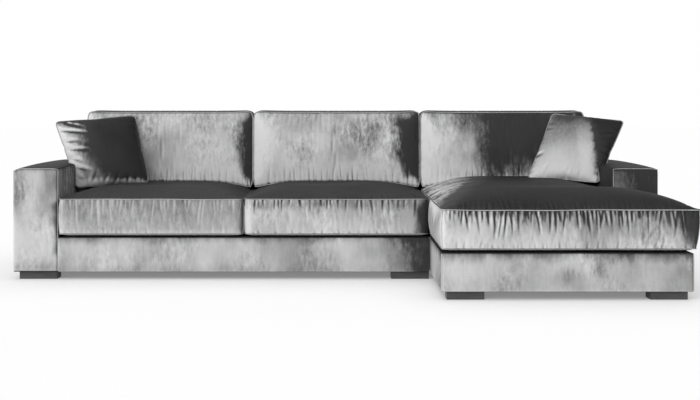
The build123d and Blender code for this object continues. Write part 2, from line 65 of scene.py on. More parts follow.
# %% Camera
PHOTO_WIDTH = 700
PHOTO_HEIGHT = 400
FOCAL_PIXELS = 1138.5
VANISH_X = 338.0
VANISH_Y = 111.0
SEAT_FRONT = -0.215
CAMERA_REACH = 5.5
camera_data = bpy.data.cameras.new("camera")
camera_data.sensor_width = 36.0
camera_data.lens = FOCAL_PIXELS / PHOTO_WIDTH * camera_data.sensor_width
camera_data.shift_x = (PHOTO_WIDTH / 2 - VANISH_X) / PHOTO_WIDTH
camera_data.shift_y = (VANISH_Y - PHOTO_HEIGHT / 2) / PHOTO_WIDTH
camera = bpy.data.objects.new("camera", camera_data)
camera.location = (0.012, SEAT_FRONT - CAMERA_REACH, 0.814)
camera.rotation_euler = (math.radians(90), 0, 0)
bpy.context.scene.collection.objects.link(camera)
bpy.context.scene.camera = camera
print("lens", round(camera_data.lens, 2), "mm")

# %% [markdown]
# ## Turning a mesh into a piece
# Every piece ends the same way: its faces point outwards, it is shaded smooth, it wears a finish, and
# it rides on the part of the sofa that it is fixed to. One helper does that, so that no piece is
# forgotten.


# %% Finishing a piece
def finish_piece(name, bm, body, material, smooth=True):
    """Turn a bmesh into a piece of the sofa that rides on a body and wears a material."""
    mesh = bpy.data.meshes.new(name)
    bmesh.ops.recalc_face_normals(bm, faces=bm.faces)
    bm.to_mesh(mesh)
    bm.free()
    for face in mesh.polygons:
        face.use_smooth = smooth
    piece = bpy.data.objects.new(name, mesh)
    bpy.context.scene.collection.objects.link(piece)
    mesh.materials.append(material)
    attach(piece, body)
    return piece


def wobble(point, scale, amount, seed=0.0):
    """A smooth random value at a point, between about -amount and amount."""
    return amount * noise.noise(Vector(point) * scale + Vector((seed, seed * 0.7, -seed)))


# %% [markdown]
# ## Velvet
# Velvet has no colour of its own so much as a direction. Looked at along its pile it is silver, looked
# at into its pile it is charcoal. A shader can't comb fibres cheaply, but it can ask which way the
# surface faces, and the colour is painted by that: fronts and left sides are painted pale, a painted
# sheen, and tops and right sides dark, a painted shade. On top of that come patches: some are pile
# brushed the other way, and some are painted shade, such as the band along a base's top under the
# cushions, the chaise cushion's top and the edges of the left arm. Each patch is a soft-edged stretch
# along X and Z whose border is broken up by noise, and short upright streaks tear the border as real
# pile does.

# %% Small node helpers
# Painted light: one velvet's tone in deep shade, in shade and in its sheen.
PILE_IN_DEEP_SHADE = (0.008, 0.008, 0.0083, 1.0)
PILE_IN_SHADE = (0.046, 0.046, 0.047, 1.0)
PILE_IN_SHEEN = (0.77, 0.77, 0.775, 1.0)


def add_node(tree, kind, **values):
    """A new node with its named inputs set, or its settings where no input has that name."""
    node = tree.nodes.new(kind)
    for key, value in values.items():
        if key in node.inputs:
            node.inputs[key].default_value = value
        else:
            setattr(node, key, value)
    return node


def math_node(tree, operation, first, second=None, clamp=False):
    """A Math node; each operand is a socket or a number."""
    node = tree.nodes.new("ShaderNodeMath")
    node.operation = operation
    node.use_clamp = clamp
    for index, operand in enumerate((first, second)):
        if operand is None:
            continue
        if isinstance(operand, (int, float)):
            node.inputs[index].default_value = operand
        else:
            tree.links.new(operand, node.inputs[index])
    return node.outputs[0]


def ramp_between(tree, value, start, end):
    """0 before start, 1 after end, and a smooth step between; start may be larger than end."""
    node = add_node(tree, "ShaderNodeMapRange", interpolation_type="SMOOTHSTEP")
    node.inputs["From Min"].default_value = start
    node.inputs["From Max"].default_value = end
    tree.links.new(value, node.inputs["Value"])
    return node.outputs["Result"]


def noise_socket(tree, vector, scale, detail=3.0, roughness=0.6):
    """A Noise texture's value on a vector, from about 0 to 1."""
    node = add_node(tree, "ShaderNodeTexNoise", Scale=scale, Detail=detail, Roughness=roughness)
    tree.links.new(vector, node.inputs["Vector"])
    return node.outputs["Fac"]


def stretched(tree, vector, scale, shift=(0, 0, 0), turn=0.0):
    """The vector with each axis scaled, and turned about Y, which stretches a pattern along the small ones."""
    node = tree.nodes.new("ShaderNodeMapping")
    node.inputs["Rotation"].default_value = (0, turn, 0)
    node.inputs["Scale"].default_value = scale
    node.inputs["Location"].default_value = shift
    tree.links.new(vector, node.inputs["Vector"])
    return node.outputs["Vector"]


# %% The velvet material
# toward is the way a surface faces to be painted palest, a painted sheen; turned away it is painted shade.
TOWARD = (-0.60, -0.66, -0.45)
CRUSH_TURN = 0.42


def layered(tree, layers):
    """The sum of noise layers, each swung about zero and weighted."""
    total = None
    for pattern, weight in layers:
        swing = math_node(tree, "MULTIPLY", math_node(tree, "SUBTRACT", pattern, 0.5), weight)
        total = swing if total is None else math_node(tree, "ADD", total, swing)
    return total


def patch_mask(tree, axes, warp, x_range, z_range, soft, shear):
    """1 inside a stretch of X and Z and 0 outside, with a soft and ragged border."""
    x = math_node(tree, "ADD", axes.outputs["X"], warp)
    if shear:
        x = math_node(tree, "SUBTRACT", x, math_node(tree, "MULTIPLY", axes.outputs["Y"], shear))
    z = math_node(tree, "ADD", axes.outputs["Z"], warp)
    inside = None
    for place, (start, end) in ((x, x_range), (z, z_range)):
        for border, sign in ((start, 1), (end, -1)):
            side = ramp_between(tree, place, border - sign * soft, border + sign * soft)
            inside = side if inside is None else math_node(tree, "MULTIPLY", inside, side)
    return inside


def velvet(name, pale_from=0.16, pale_to=0.82, patches=(), seed=0.0, clouds=1.0, grain=1.0, streak=1.0,
           toward=TOWARD, shear=0.0, folds=1.0, crush=0.70, far_side=0.80):
    """Velvet painted pale where it faces toward and dark where it faces away, a painted sheen and shade.

    Each patch is (push, (x0, x1), (z0, z1), soft): push below 0 paints the pile darker and above 0 paler,
    inside the stretch x0 to x1 and z0 to z1, with borders soft metres wide; some patches are brushed pile
    and some are painted shade. With shear, a stretch moves along X by that much for each metre towards the
    back. The mesh's fold attribute, where it has one, paints shade into the grooves of gathers and a
    highlight onto their ridges. crush is how strongly slanting marks show where the pile has been pressed.
    far_side is how much paler a surface is painted that looks straight to +X, a painted sheen.
    """
    material = bpy.data.materials.new(name)
    material.use_nodes = True
    tree = material.node_tree
    shader = tree.nodes["Principled BSDF"]
    place = tree.nodes.new("ShaderNodeTexCoord")
    where = place.outputs["Object"]
    parts = tree.nodes.new("ShaderNodeSeparateXYZ")
    tree.links.new(place.outputs["Normal"], parts.inputs[0])
    # The colour is painted by which way the surface faces: painted sheen towards toward, painted shade away.
    facing = math_node(tree, "MULTIPLY", parts.outputs["X"], toward[0])
    depthwise = math_node(tree, "MULTIPLY", math_node(tree, "ABSOLUTE", parts.outputs["Y"]), -toward[1])
    facing = math_node(tree, "ADD", facing, depthwise)
    facing = math_node(tree, "ADD", facing, math_node(tree, "MULTIPLY", parts.outputs["Z"], toward[2]))
    # A surface looking straight to +X gets far_side more painted sheen.
    sideways = ramp_between(tree, parts.outputs["X"], 0.70, 0.95)
    facing = math_node(tree, "ADD", facing, math_node(tree, "MULTIPLY", sideways, far_side))
    # Painted shade in the gathers' grooves and painted highlight on their ridges, from the fold attribute.
    fold = add_node(tree, "ShaderNodeAttribute", attribute_name="fold")
    facing = math_node(tree, "ADD", facing, math_node(tree, "MULTIPLY", fold.outputs["Fac"], folds))
    shift = (seed, seed * 1.7, seed * 0.6)
    cloudy = layered(tree, (
        (noise_socket(tree, stretched(tree, where, (1, 1, 1.2), shift), 3.0, 2.0, 0.5), 0.70 * clouds),
        (noise_socket(tree, stretched(tree, where, (1, 1, 0.5), shift), 12.0, 4.0, 0.6), 0.36 * clouds),
    ))
    strokes = noise_socket(tree, stretched(tree, where, (75, 75, 13), shift), 1.0, 4.0, 0.62)
    fine = layered(tree, (
        (strokes, 0.11 * streak),
        (noise_socket(tree, stretched(tree, where, (20, 20, 120), shift), 1.0, 2.0, 0.7), 0.03 * grain),
        (noise_socket(tree, where, 240.0, 2.0, 0.6), 0.09 * grain),
    ))
    marks = noise_socket(tree, stretched(tree, where, (62, 40, 24), shift, turn=CRUSH_TURN), 1.0, 5.0, 0.7)
    pressed = ramp_between(tree, noise_socket(tree, stretched(tree, where, (1, 1, 1), shift), 4.5, 2.0, 0.5), 0.38, 0.62)
    crushed = math_node(tree, "MULTIPLY", layered(tree, ((marks, crush),)), pressed)
    facing = math_node(tree, "ADD", facing, math_node(tree, "ADD", cloudy, math_node(tree, "ADD", fine, crushed)))
    axes = tree.nodes.new("ShaderNodeSeparateXYZ")
    tree.links.new(where, axes.inputs[0])
    warp_base = layered(tree, (
        (noise_socket(tree, stretched(tree, where, (1, 1, 0.7), shift), 8.0, 3.0, 0.6), 2.6),
        (noise_socket(tree, stretched(tree, where, (1, 1, 0.35), shift), 38.0, 3.0, 0.6), 1.5),
    ))
    for push, x_range, z_range, soft in patches:
        warp = math_node(tree, "MULTIPLY", warp_base, soft)
        inside = patch_mask(tree, axes, warp, x_range, z_range, soft, shear)
        facing = math_node(tree, "ADD", facing, math_node(tree, "MULTIPLY", inside, push))
    # Painted light: the deep shade, shade and sheen tones of one velvet, mixed by the facing value.
    shadow = add_node(tree, "ShaderNodeMix", data_type="RGBA")
    tree.links.new(ramp_between(tree, facing, pale_from - 1.05, pale_from + 0.1), shadow.inputs["Factor"])
    shadow.inputs[6].default_value = PILE_IN_DEEP_SHADE
    shadow.inputs[7].default_value = PILE_IN_SHADE
    colour = add_node(tree, "ShaderNodeMix", data_type="RGBA")
    tree.links.new(ramp_between(tree, facing, pale_from, pale_to), colour.inputs["Factor"])
    tree.links.new(shadow.outputs[2], colour.inputs[6])
    colour.inputs[7].default_value = PILE_IN_SHEEN
    tree.links.new(colour.outputs[2], shader.inputs["Base Color"])
    pile = noise_socket(tree, where, 900.0, 2.0, 0.5)
    rough = math_node(tree, "ADD", math_node(tree, "MULTIPLY", pile, 0.2), 0.55)
    tree.links.new(rough, shader.inputs["Roughness"])
    bump = add_node(tree, "ShaderNodeBump", Strength=0.18, Distance=0.0015)
    height = math_node(tree, "ADD", math_node(tree, "MULTIPLY", strokes, 0.35),
                       math_node(tree, "MULTIPLY", pile, 0.35))
    tree.links.new(height, bump.inputs["Height"])
    tree.links.new(bump.outputs["Normal"], shader.inputs["Normal"])
    shader.inputs["Specular IOR Level"].default_value = 0.06
    shader.inputs["Sheen Weight"].default_value = 0.02
    shader.inputs["Sheen Roughness"].default_value = 0.4
    return material


# The piping is painted pale on nearly every side it turns, a painted highlight along the seams.
piping_velvet = velvet("piping_velvet", pale_from=-0.35, pale_to=1.45, clouds=1.2)
print("velvet ready")


# %% [markdown]
# ## Plainer finishes
# The parts inside the sofa show when a cushion is lifted or the section is turned over: raw softwood,
# foam, fibre wadding, black cloth, webbing, steel and a zip. They still get a grain or a weave, because a
# flat colour looks like plastic.


# %% Finishes for what is under the covers
def plain_finish(name, dark, pale, scale, stretch, roughness, bump_height, metallic=0.0):
    """A finish whose colour and bump both follow one stretched noise."""
    material = bpy.data.materials.new(name)
    material.use_nodes = True
    tree = material.node_tree
    shader = tree.nodes["Principled BSDF"]
    place = tree.nodes.new("ShaderNodeTexCoord")
    pattern = noise_socket(tree, stretched(tree, place.outputs["Object"], stretch), scale, 4.0, 0.6)
    colour = add_node(tree, "ShaderNodeMix", data_type="RGBA")
    tree.links.new(ramp_between(tree, pattern, 0.3, 0.7), colour.inputs["Factor"])
    colour.inputs[6].default_value = (*dark, 1.0)
    colour.inputs[7].default_value = (*pale, 1.0)
    tree.links.new(colour.outputs[2], shader.inputs["Base Color"])
    bump = add_node(tree, "ShaderNodeBump", Strength=0.3, Distance=bump_height)
    tree.links.new(pattern, bump.inputs["Height"])
    tree.links.new(bump.outputs["Normal"], shader.inputs["Normal"])
    shader.inputs["Roughness"].default_value = roughness
    shader.inputs["Metallic"].default_value = metallic
    return material


finishes = {
    "foot_stain": plain_finish("foot_stain", (0.045, 0.045, 0.047), (0.075, 0.075, 0.078), 14, (1, 9, 12),
                               0.5, 0.0006),
    "timber": plain_finish("timber", (0.42, 0.27, 0.15), (0.66, 0.49, 0.31), 9, (1, 6, 14), 0.7, 0.0008),
    "foam": plain_finish("foam", (0.72, 0.66, 0.50), (0.84, 0.79, 0.64), 260, (1, 1, 1), 0.95, 0.001),
    "fibre": plain_finish("fibre", (0.80, 0.80, 0.79), (0.92, 0.92, 0.91), 60, (1, 1, 1), 0.95, 0.003),
    "dust_cloth": plain_finish("dust_cloth", (0.018, 0.018, 0.018), (0.04, 0.04, 0.04), 420, (1, 1, 1),
                               0.95, 0.0006),
    "webbing": plain_finish("webbing", (0.03, 0.03, 0.033), (0.11, 0.11, 0.12), 320, (1, 0.3, 1), 0.9,
                            0.0008),
    "zip_plastic": plain_finish("zip_plastic", (0.02, 0.02, 0.02), (0.05, 0.05, 0.05), 500, (1, 1, 1),
                                0.4, 0.0004),
    "steel": plain_finish("steel", (0.42, 0.42, 0.43), (0.62, 0.62, 0.63), 90, (1, 12, 1), 0.35, 0.0003,
                          metallic=1.0),
    "velvet": velvet("deck_velvet", seed=9.0),
}
slot_of = {entry["node"]: entry["material_slot"] for entry in frame["record"]["subparts"]}
for node_name, node in frame["nodes"].items():
    node.data.materials.clear()
    node.data.materials.append(finishes[slot_of[node_name]])
print(len(frame["nodes"]), "nodes painted")

# %% [markdown]
# ## Piping
# Every edge of these cushions is finished with piping: a thin cord wrapped in velvet and caught in the
# seam. A curve with a round bevel makes it, and the curve is then turned into a mesh, so that the piece
# is an ordinary mesh like the rest.


# %% Piping along a line of points
PIPING_RADIUS = 0.0027


def piping_points(bm, points, radius=PIPING_RADIUS, closed=True):
    """Add a round tube along the points to a bmesh."""
    curve = bpy.data.curves.new("piping", "CURVE")
    curve.dimensions = "3D"
    curve.bevel_depth = radius
    curve.bevel_resolution = 2
    curve.use_fill_caps = not closed
    spline = curve.splines.new("POLY")
    spline.points.add(len(points) - 1)
    for target, point in zip(spline.points, points):
        target.co = (*point, 1.0)
    spline.use_cyclic_u = closed
    holder = bpy.data.objects.new("piping", curve)
    bpy.context.scene.collection.objects.link(holder)
    bpy.context.view_layer.update()
    mesh = bpy.data.meshes.new_from_object(holder.evaluated_get(bpy.context.evaluated_depsgraph_get()))
    bm.from_mesh(mesh)
    bpy.data.objects.remove(holder)
    bpy.data.curves.remove(curve)
    bpy.data.meshes.remove(mesh)


# %% [markdown]
# ## Gathers
# A cushion's cover is cut a little larger than its filling, and the spare cloth is eased into the
# seams. It shows as short folds that start at the piping and die out across the panel. Each gather here
# has a place along the seam, a length, a width, a depth and a slant, all drawn from a seeded generator,
# and pushes the cloth in along a narrow groove. Its groove and the ridge beside it are also painted
# darker or paler, as painted shade and painted highlight.


# %% Gathers along a seam
DEEPEST_GATHER = 0.008


def make_gathers(rng, start, end, spacing, reach, depth, thin=1.0):
    """Gathers along a seam, about spacing apart and up to reach long; thin below 1 makes finer ones."""
    gathers = []
    place = start + spacing * rng.random()
    while place < end:
        gathers.append((place, reach * rng.uniform(0.25, 1.0), rng.uniform(0.0038, 0.0085) * thin,
                        depth * rng.uniform(0.35, 1.0), rng.uniform(-0.16, 0.16)))
        place += spacing * rng.uniform(0.35, 1.7)
    return gathers


def gather_depth(gathers, along, away):
    """How deep the cloth is drawn in at a place, and how much painted shade its groove and painted highlight its
    ridge get there.
    """
    total, groove, ridge = 0.0, 0.0, 0.0
    for place, reach, width, depth, slant in gathers:
        if away >= reach:
            continue
        offset = (along - place - slant * away) / (width * (1.2 - 0.45 * away / reach))
        if abs(offset) < 3.5:
            fade = 1 - away / reach
            shape = math.exp(-offset * offset) * fade * (2 - fade)
            total += depth * shape
            groove += shape
            ridge += math.exp(-((offset + 1.9) ** 2)) * fade
    return min(total, DEEPEST_GATHER), min(groove, 1.0), min(ridge, 1.0)


print("deepest gather", DEEPEST_GATHER * 1000, "mm")

# %% [markdown]
# ## Boxed cushions
# A boxed cushion is two panels and a strip of cloth, the boxing, sewn between them with piping on both
# seams. The mesh is laid out the same way: a grid for the panel, pushed up to make the boxing, and cut
# into rows. Each point remembers where it lay on the pattern, as a cutter would mark it, and that mark is
# what the crown, the gathers and the piping are worked out from later.

# %% Grids that become cushions
FINE_STEP = 0.0085
PLAIN_STEP = 0.0190
WALL_STEP = 0.0125


def boxed_grid(low, high, steps, notch=None):
    """A closed box of small quads whose floor plan may lose the corner beyond notch, (x, y)."""
    sides = [high[i] - low[i] for i in range(3)]
    counts = [max(3, round(side / step)) for side, step in zip(sides, steps)]
    bm = bmesh.new()
    bmesh.ops.create_grid(bm, x_segments=counts[0], y_segments=counts[1], size=0.5)
    split = notch or high
    turn = [max(1, round((split[i] - low[i]) / sides[i] * counts[i])) for i in range(2)]
    for vert in bm.verts:
        for i in range(2):
            index = round((vert.co[i] + 0.5) * counts[i])
            if index <= turn[i]:
                vert.co[i] = low[i] + (split[i] - low[i]) * index / turn[i]
            else:
                vert.co[i] = split[i] + (high[i] - split[i]) * (index - turn[i]) / (counts[i] - turn[i])
        vert.co.z = low[2]
    if notch:
        lost = [f for f in bm.faces if all(f.calc_center_median()[i] > notch[i] for i in range(2))]
        bmesh.ops.delete(bm, geom=lost, context="FACES")
    grown = bmesh.ops.extrude_face_region(bm, geom=bm.faces[:])["geom"]
    bmesh.ops.translate(bm, vec=(0, 0, sides[2]), verts=[g for g in grown if isinstance(g, bmesh.types.BMVert)])
    upright = [e for e in bm.edges if abs(e.verts[0].co.z - e.verts[1].co.z) > sides[2] / 2]
    bmesh.ops.subdivide_edges(bm, edges=upright, cuts=counts[2] - 1, use_grid_fill=True)
    bmesh.ops.recalc_face_normals(bm, faces=bm.faces)
    bm.edges.layers.float.new("crease_edge")
    pattern = bm.verts.layers.float_vector.new("pattern")
    for vert in bm.verts:
        vert[pattern] = vert.co.copy()
    return bm


def inside_distance(x, y, low, high, notch=None):
    """How far a plan point lies inside the outline, in metres."""
    whole = min(x - low[0], high[0] - x, y - low[1], high[1] - y)
    if not notch:
        return whole
    front = min(x - low[0], high[0] - x, y - low[1], notch[1] - y)
    rear = min(x - low[0], notch[0] - x, y - low[1], high[1] - y)
    return max(front, rear)


def outward(x, y, low, high, notch=None):
    """The wall's outward direction at a plan point on the outline."""
    tight = 1e-5
    direction = Vector((0, 0, 0))
    if x < low[0] + tight:
        direction.x -= 1
    if y < low[1] + tight:
        direction.y -= 1
    if x > high[0] - tight or (notch and x > notch[0] - tight and y > notch[1] + tight):
        direction.x += 1
    if y > high[1] - tight or (notch and y > notch[1] - tight and x > notch[0] + tight):
        direction.y += 1
    return direction.normalized() if direction.length > 0 else direction


def round_corner(x, y, low, high, radius):
    """Draw the four plan corners in to a radius."""
    near = [low[0] + radius, low[1] + radius]
    far = [high[0] - radius, high[1] - radius]
    centre = Vector((min(max(x, near[0]), far[0]), min(max(y, near[1]), far[1])))
    away = Vector((x, y)) - centre
    if abs(away.x) < 1e-9 or abs(away.y) < 1e-9:
        return x, y
    reach = max(abs(away.x), abs(away.y))
    spot = centre + away.normalized() * reach
    return spot.x, spot.y


def rim_edges(bm, high_side):
    """The seam's edges round the panel on one side: at the top, or at the bottom."""
    pattern = bm.verts.layers.float_vector["pattern"]
    levels = [v[pattern].z for v in bm.verts]
    level = max(levels) if high_side else min(levels)
    rim = []
    for edge in bm.edges:
        if any(abs(v[pattern].z - level) > 1e-6 for v in edge.verts):
            continue
        flat = [all(abs(v[pattern].z - level) < 1e-6 for v in f.verts) for f in edge.link_faces]
        if len(flat) == 2 and flat[0] != flat[1]:
            rim.append(edge)
    return rim


def edge_loop(edges):
    """The points of a closed run of edges, in order."""
    steps = {}
    for edge in edges:
        a, b = edge.verts
        steps.setdefault(a, []).append(b)
        steps.setdefault(b, []).append(a)
    start = edges[0].verts[0]
    order, previous, here = [start], None, start
    while True:
        ahead = [v for v in steps[here] if v is not previous][0]
        if ahead is start:
            return order
        order.append(ahead)
        previous, here = here, ahead


print("cushion grid steps", FINE_STEP, PLAIN_STEP, WALL_STEP)

# %% [markdown]
# ## Letting the filling push
# The pattern shape is only a start. Cloth with a little pressure inside finds the form that filling
# gives it: panels swell between the seams and flatten where they are held. The seams and the underside
# are pinned, because piping and a plywood deck hold them in the real sofa. Twenty frames are enough,
# and no point may move further than a cap, so the cushion stays in its place.

# %% Simulate a stuffed cushion
CLOTH_FRAMES = 20


def inflate(bm, pinned, pressure, cap, slack=0.0, stiffness=12.0):
    """Blow a closed bmesh up as cloth and move its points to the result, at most cap from here."""
    scene = bpy.context.scene
    mesh = bpy.data.meshes.new("cloth")
    bm.verts.ensure_lookup_table()
    bm.to_mesh(mesh)
    holder = bpy.data.objects.new("cloth", mesh)
    scene.collection.objects.link(holder)
    pins = holder.vertex_groups.new(name="pins")
    pins.add([v.index for v in pinned], 1.0, "REPLACE")
    cloth = holder.modifiers.new("cloth", "CLOTH")
    settings = cloth.settings
    settings.quality = 4
    settings.mass = 0.35
    settings.tension_stiffness = stiffness
    settings.compression_stiffness = stiffness
    settings.shear_stiffness = stiffness / 3
    settings.bending_stiffness = 0.6
    settings.use_pressure = True
    settings.uniform_pressure_force = pressure
    settings.shrink_min = -slack
    settings.vertex_group_mass = "pins"
    settings.effector_weights.gravity = 0
    cloth.collision_settings.use_collision = False
    cloth.collision_settings.use_self_collision = False
    cloth.point_cache.frame_start = 1
    cloth.point_cache.frame_end = CLOTH_FRAMES
    for frame_number in range(1, CLOTH_FRAMES + 1):
        scene.frame_set(frame_number)
    result = holder.evaluated_get(bpy.context.evaluated_depsgraph_get()).to_mesh()
    furthest = 0.0
    for vert, moved in zip(bm.verts, result.vertices):
        shift = moved.co - vert.co
        furthest = max(furthest, shift.length)
        if shift.length > cap:
            shift *= cap / shift.length
        vert.co += shift
    scene.frame_set(1)
    bpy.data.objects.remove(holder)
    bpy.data.meshes.remove(mesh)
    print("cloth moved up to", round(furthest * 1000), "mm")


def refine(bm, rims):
    """One subdivision that keeps the seams crisp; returns the finer bmesh with its pattern."""
    crease = bm.edges.layers.float.get("crease_edge")
    for edge in rims:
        edge[crease] = 1.0
    mesh = bpy.data.meshes.new("refine")
    bm.to_mesh(mesh)
    bm.free()
    holder = bpy.data.objects.new("refine", mesh)
    bpy.context.scene.collection.objects.link(holder)
    rounder = holder.modifiers.new("rounder", "SUBSURF")
    rounder.levels = 1
    rounder.render_levels = 1
    bpy.context.view_layer.update()
    fine = bpy.data.meshes.new_from_object(holder.evaluated_get(bpy.context.evaluated_depsgraph_get()))
    result = bmesh.new()
    result.from_mesh(fine)
    bpy.data.objects.remove(holder)
    bpy.data.meshes.remove(mesh)
    bpy.data.meshes.remove(fine)
    result.normal_update()
    return result


print("cloth for", CLOTH_FRAMES, "frames")

# %% [markdown]
# ## Seat cushions
# The two seat cushions are boxed and crowned, pulled tight on their front boxing, with small gathers
# under the top piping. The crown is highest in the middle and falls steeply to the seam, so it is worked
# out from how far a point lies inside the outline.


# %% Seat cushion builder
UNDERSIDE_CURVE = 0.07


def crown_height(distance, reach, rise):
    """How far the panel stands up at a distance inside its seam."""
    share = min(1.0, max(0.0, distance / reach))
    return rise * (1 - (1 - share) ** 2.5)


def boxed_cushion(name, body, low, high, rise, reach, bulge, radius, seams, material, place=None,
                  notch=None, sag=None, slack=0.004, cap=0.014, pressure=4.0, lift=0.0,
                  steps=(FINE_STEP, PLAIN_STEP, WALL_STEP), squeeze=0.0, limits=None, posts=()):
    """A boxed cushion with piping: low to high is its box, and rise is its crown over the top seam.

    lift is how far the lower seam stands up from the bottom that the cushion rests on. squeeze is how much
    further from its seam the crown behaves beside the notch, where an arm presses the cushion up. limits is
    (x0, x1, y), and behind y the cushion keeps between x0 and x1. posts are the plan corners, as (x, y), at
    which an upright seam joins the two piped ones.
    """
    crown_notch = notch and (notch[0] + squeeze, notch[1])
    bm = boxed_grid(low, high, steps, notch)
    top = high[2]
    deep = top - low[2]
    pattern = bm.verts.layers.float_vector["pattern"]
    upper_edges, lower_edges = rim_edges(bm, True), rim_edges(bm, False)
    upper_rim, lower_rim = edge_loop(upper_edges), edge_loop(lower_edges)
    rims = upper_edges + lower_edges
    for vert in bm.verts:
        mark = vert[pattern]
        level = (mark.z - low[2]) / deep
        distance = inside_distance(mark.x, mark.y, low, high, notch)
        out = outward(mark.x, mark.y, low, high, notch) if distance < 1e-5 else Vector((0, 0, 0))
        x, y = round_corner(mark.x, mark.y, low, high, radius)
        z = mark.z
        full = inside_distance(mark.x, mark.y, low, high, crown_notch)
        z += crown_height(full, reach, rise) * level
        if level > 1 - 1e-6:
            z += wobble((mark.x, mark.y, 0), 3.2, 0.006) * min(1.0, distance / 0.12)
        z += lift * (1 - level) * (1 - min(1.0, distance / UNDERSIDE_CURVE)) ** 2
        swell = bulge * 4 * level * (1 - level)
        vert.co = Vector((x, y, z)) + out * swell
        vert.co.z += wobble((mark.x, mark.y, 5), 4.0, 0.004) * level
        if sag:
            vert.co += sag(mark.x, mark.y, level)
    held = set(upper_rim) | set(lower_rim)
    held |= {v for v in bm.verts if v[pattern].z < low[2] + 1e-6}
    inflate(bm, held, pressure, cap, slack)
    upper_line = [v.co.copy() for v in upper_rim]
    lower_line = [v.co.copy() for v in lower_rim]
    bm = refine(bm, rims)
    draw_gathers(bm, low, high, seams, notch)
    pattern = bm.verts.layers.float_vector["pattern"]
    post_lines = []
    for x, y in posts:
        post = [v for v in bm.verts if abs(v[pattern].x - x) < 1e-4 and abs(v[pattern].y - y) < 1e-4]
        post_lines.append([v.co.copy() for v in sorted(post, key=lambda v: v.co.z)])
    if limits:
        x0, x1, behind = limits
        for co in [v.co for v in bm.verts if v.co.y > behind] + [p for p in upper_line + lower_line if p.y > behind]:
            co.x = min(max(co.x, x0), x1)
    if place:
        bmesh.ops.transform(bm, matrix=place, verts=bm.verts)
        upper_line = [place @ p for p in upper_line]
        lower_line = [place @ p for p in lower_line]
    cushion = finish_piece(name, bm, body, material)
    piping = bmesh.new()
    piping_points(piping, upper_line)
    piping_points(piping, lower_line, PIPING_RADIUS * 0.85)
    for line in post_lines:
        piping_points(piping, line, PIPING_RADIUS * 0.6, closed=False)
    cord = finish_piece(f"{name}_piping", piping, body, piping_velvet)
    print(name, len(cushion.data.polygons), "faces")
    return cushion, cord


def seam_side(x, y, low, high):
    """Which side of the outline a plan point is nearest to, and how far along that side it is."""
    gaps = {"left": x - low[0], "right": high[0] - x, "front": y - low[1], "rear": high[1] - y}
    side = min(gaps, key=gaps.get)
    return side, (x if side in ("front", "rear") else y)


def draw_gathers(bm, low, high, seams, notch=None):
    """Push the gathers of each seam into a cushion's walls and the rim of its top panel, and keep their painted
    shade and highlight in the fold attribute.
    """
    pattern = bm.verts.layers.float_vector["pattern"]
    fold = bm.verts.layers.float.new("fold")
    top = high[2]
    moves = []
    for vert in bm.verts:
        mark = vert[pattern]
        distance = inside_distance(mark.x, mark.y, low, high, notch)
        wall = distance < 0.0035
        side, along = seam_side(mark.x, mark.y, low, high)
        depth, painted_fold_light = 0.0, 0.0
        for seam in seams:
            if side not in seam["where"]:
                continue
            if wall:
                away = top - mark.z if seam["edge"] == "top" else mark.z - low[2]
                share = 1.0
            elif seam["edge"] == "top" and mark.z > top - 1e-4:
                away, share = distance, 0.6
            else:
                continue
            drawn, groove, ridge = gather_depth(near_gathers(seam, along), along, away)
            depth += share * drawn
            # The folds' painted shade and painted highlight, weighted by the seam's groove and ridge.
            painted_fold_light += share * (seam["groove"] * groove + seam["ridge"] * ridge)
        if depth > 0 or painted_fold_light:
            moves.append((vert, vert.normal * -depth, painted_fold_light))
    for vert, move, painted_fold_light in moves:
        vert.co += move
        vert[fold] = painted_fold_light


GATHER_BIN = 0.05


def near_gathers(seam, along):
    """The seam's gathers that can reach this place, from bins along it."""
    if "bins" not in seam:
        bins = {}
        for gather in seam["gathers"]:
            middle = math.floor(gather[0] / GATHER_BIN)
            for index in (middle - 1, middle, middle + 1):
                bins.setdefault(index, []).append(gather)
        seam["bins"] = bins
    return seam["bins"].get(math.floor(along / GATHER_BIN), ())


def seam_gathers(seed, where, edge, start, end, spacing, reach, depth, groove=-0.12, ridge=0.12, thin=1.0):
    """One seam's worth of gathers, its place on the cushion, and how much painted shade its grooves and painted
    highlight its ridges get.
    """
    rng = random.Random(seed)
    gathers = make_gathers(rng, start, end, spacing, reach, depth, thin)
    return {"where": where, "edge": edge, "gathers": gathers, "groove": groove, "ridge": ridge}


# %% Seat cushions
def cushion_box(node):
    """The lowest and highest corner of a cushion's solid, as plain vectors."""
    low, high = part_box(node)
    return Vector(low), Vector(high)


WELT_HEIGHT = 0.388
SEAM_LIFT = 0.017
SEAT_RISE = 0.037
corner_round = {"left": 0.018, "middle": 0.036}
SEAT_DECK = 0.203
SEAT_FRONT_FACE = SEAT_FRONT - 0.006
seat_looks = {
    "left": dict(seed=1.0, pale_from=0.06, pale_to=1.46, clouds=0.6,
                 patches=((0.16, (-1.36, -1.26), (0.2, 0.30), 0.05), (0.10, (-1.4, 0.5), (0.19, 0.24), 0.012))),
    "middle": dict(seed=2.0, pale_from=0.14, pale_to=1.04, clouds=0.7,
                   patches=((-0.42, (0.395, 0.5), (0.2, 0.36), 0.035),
                            (-0.10, (-0.45, 0.5), (0.345, 0.39), 0.02))),
}
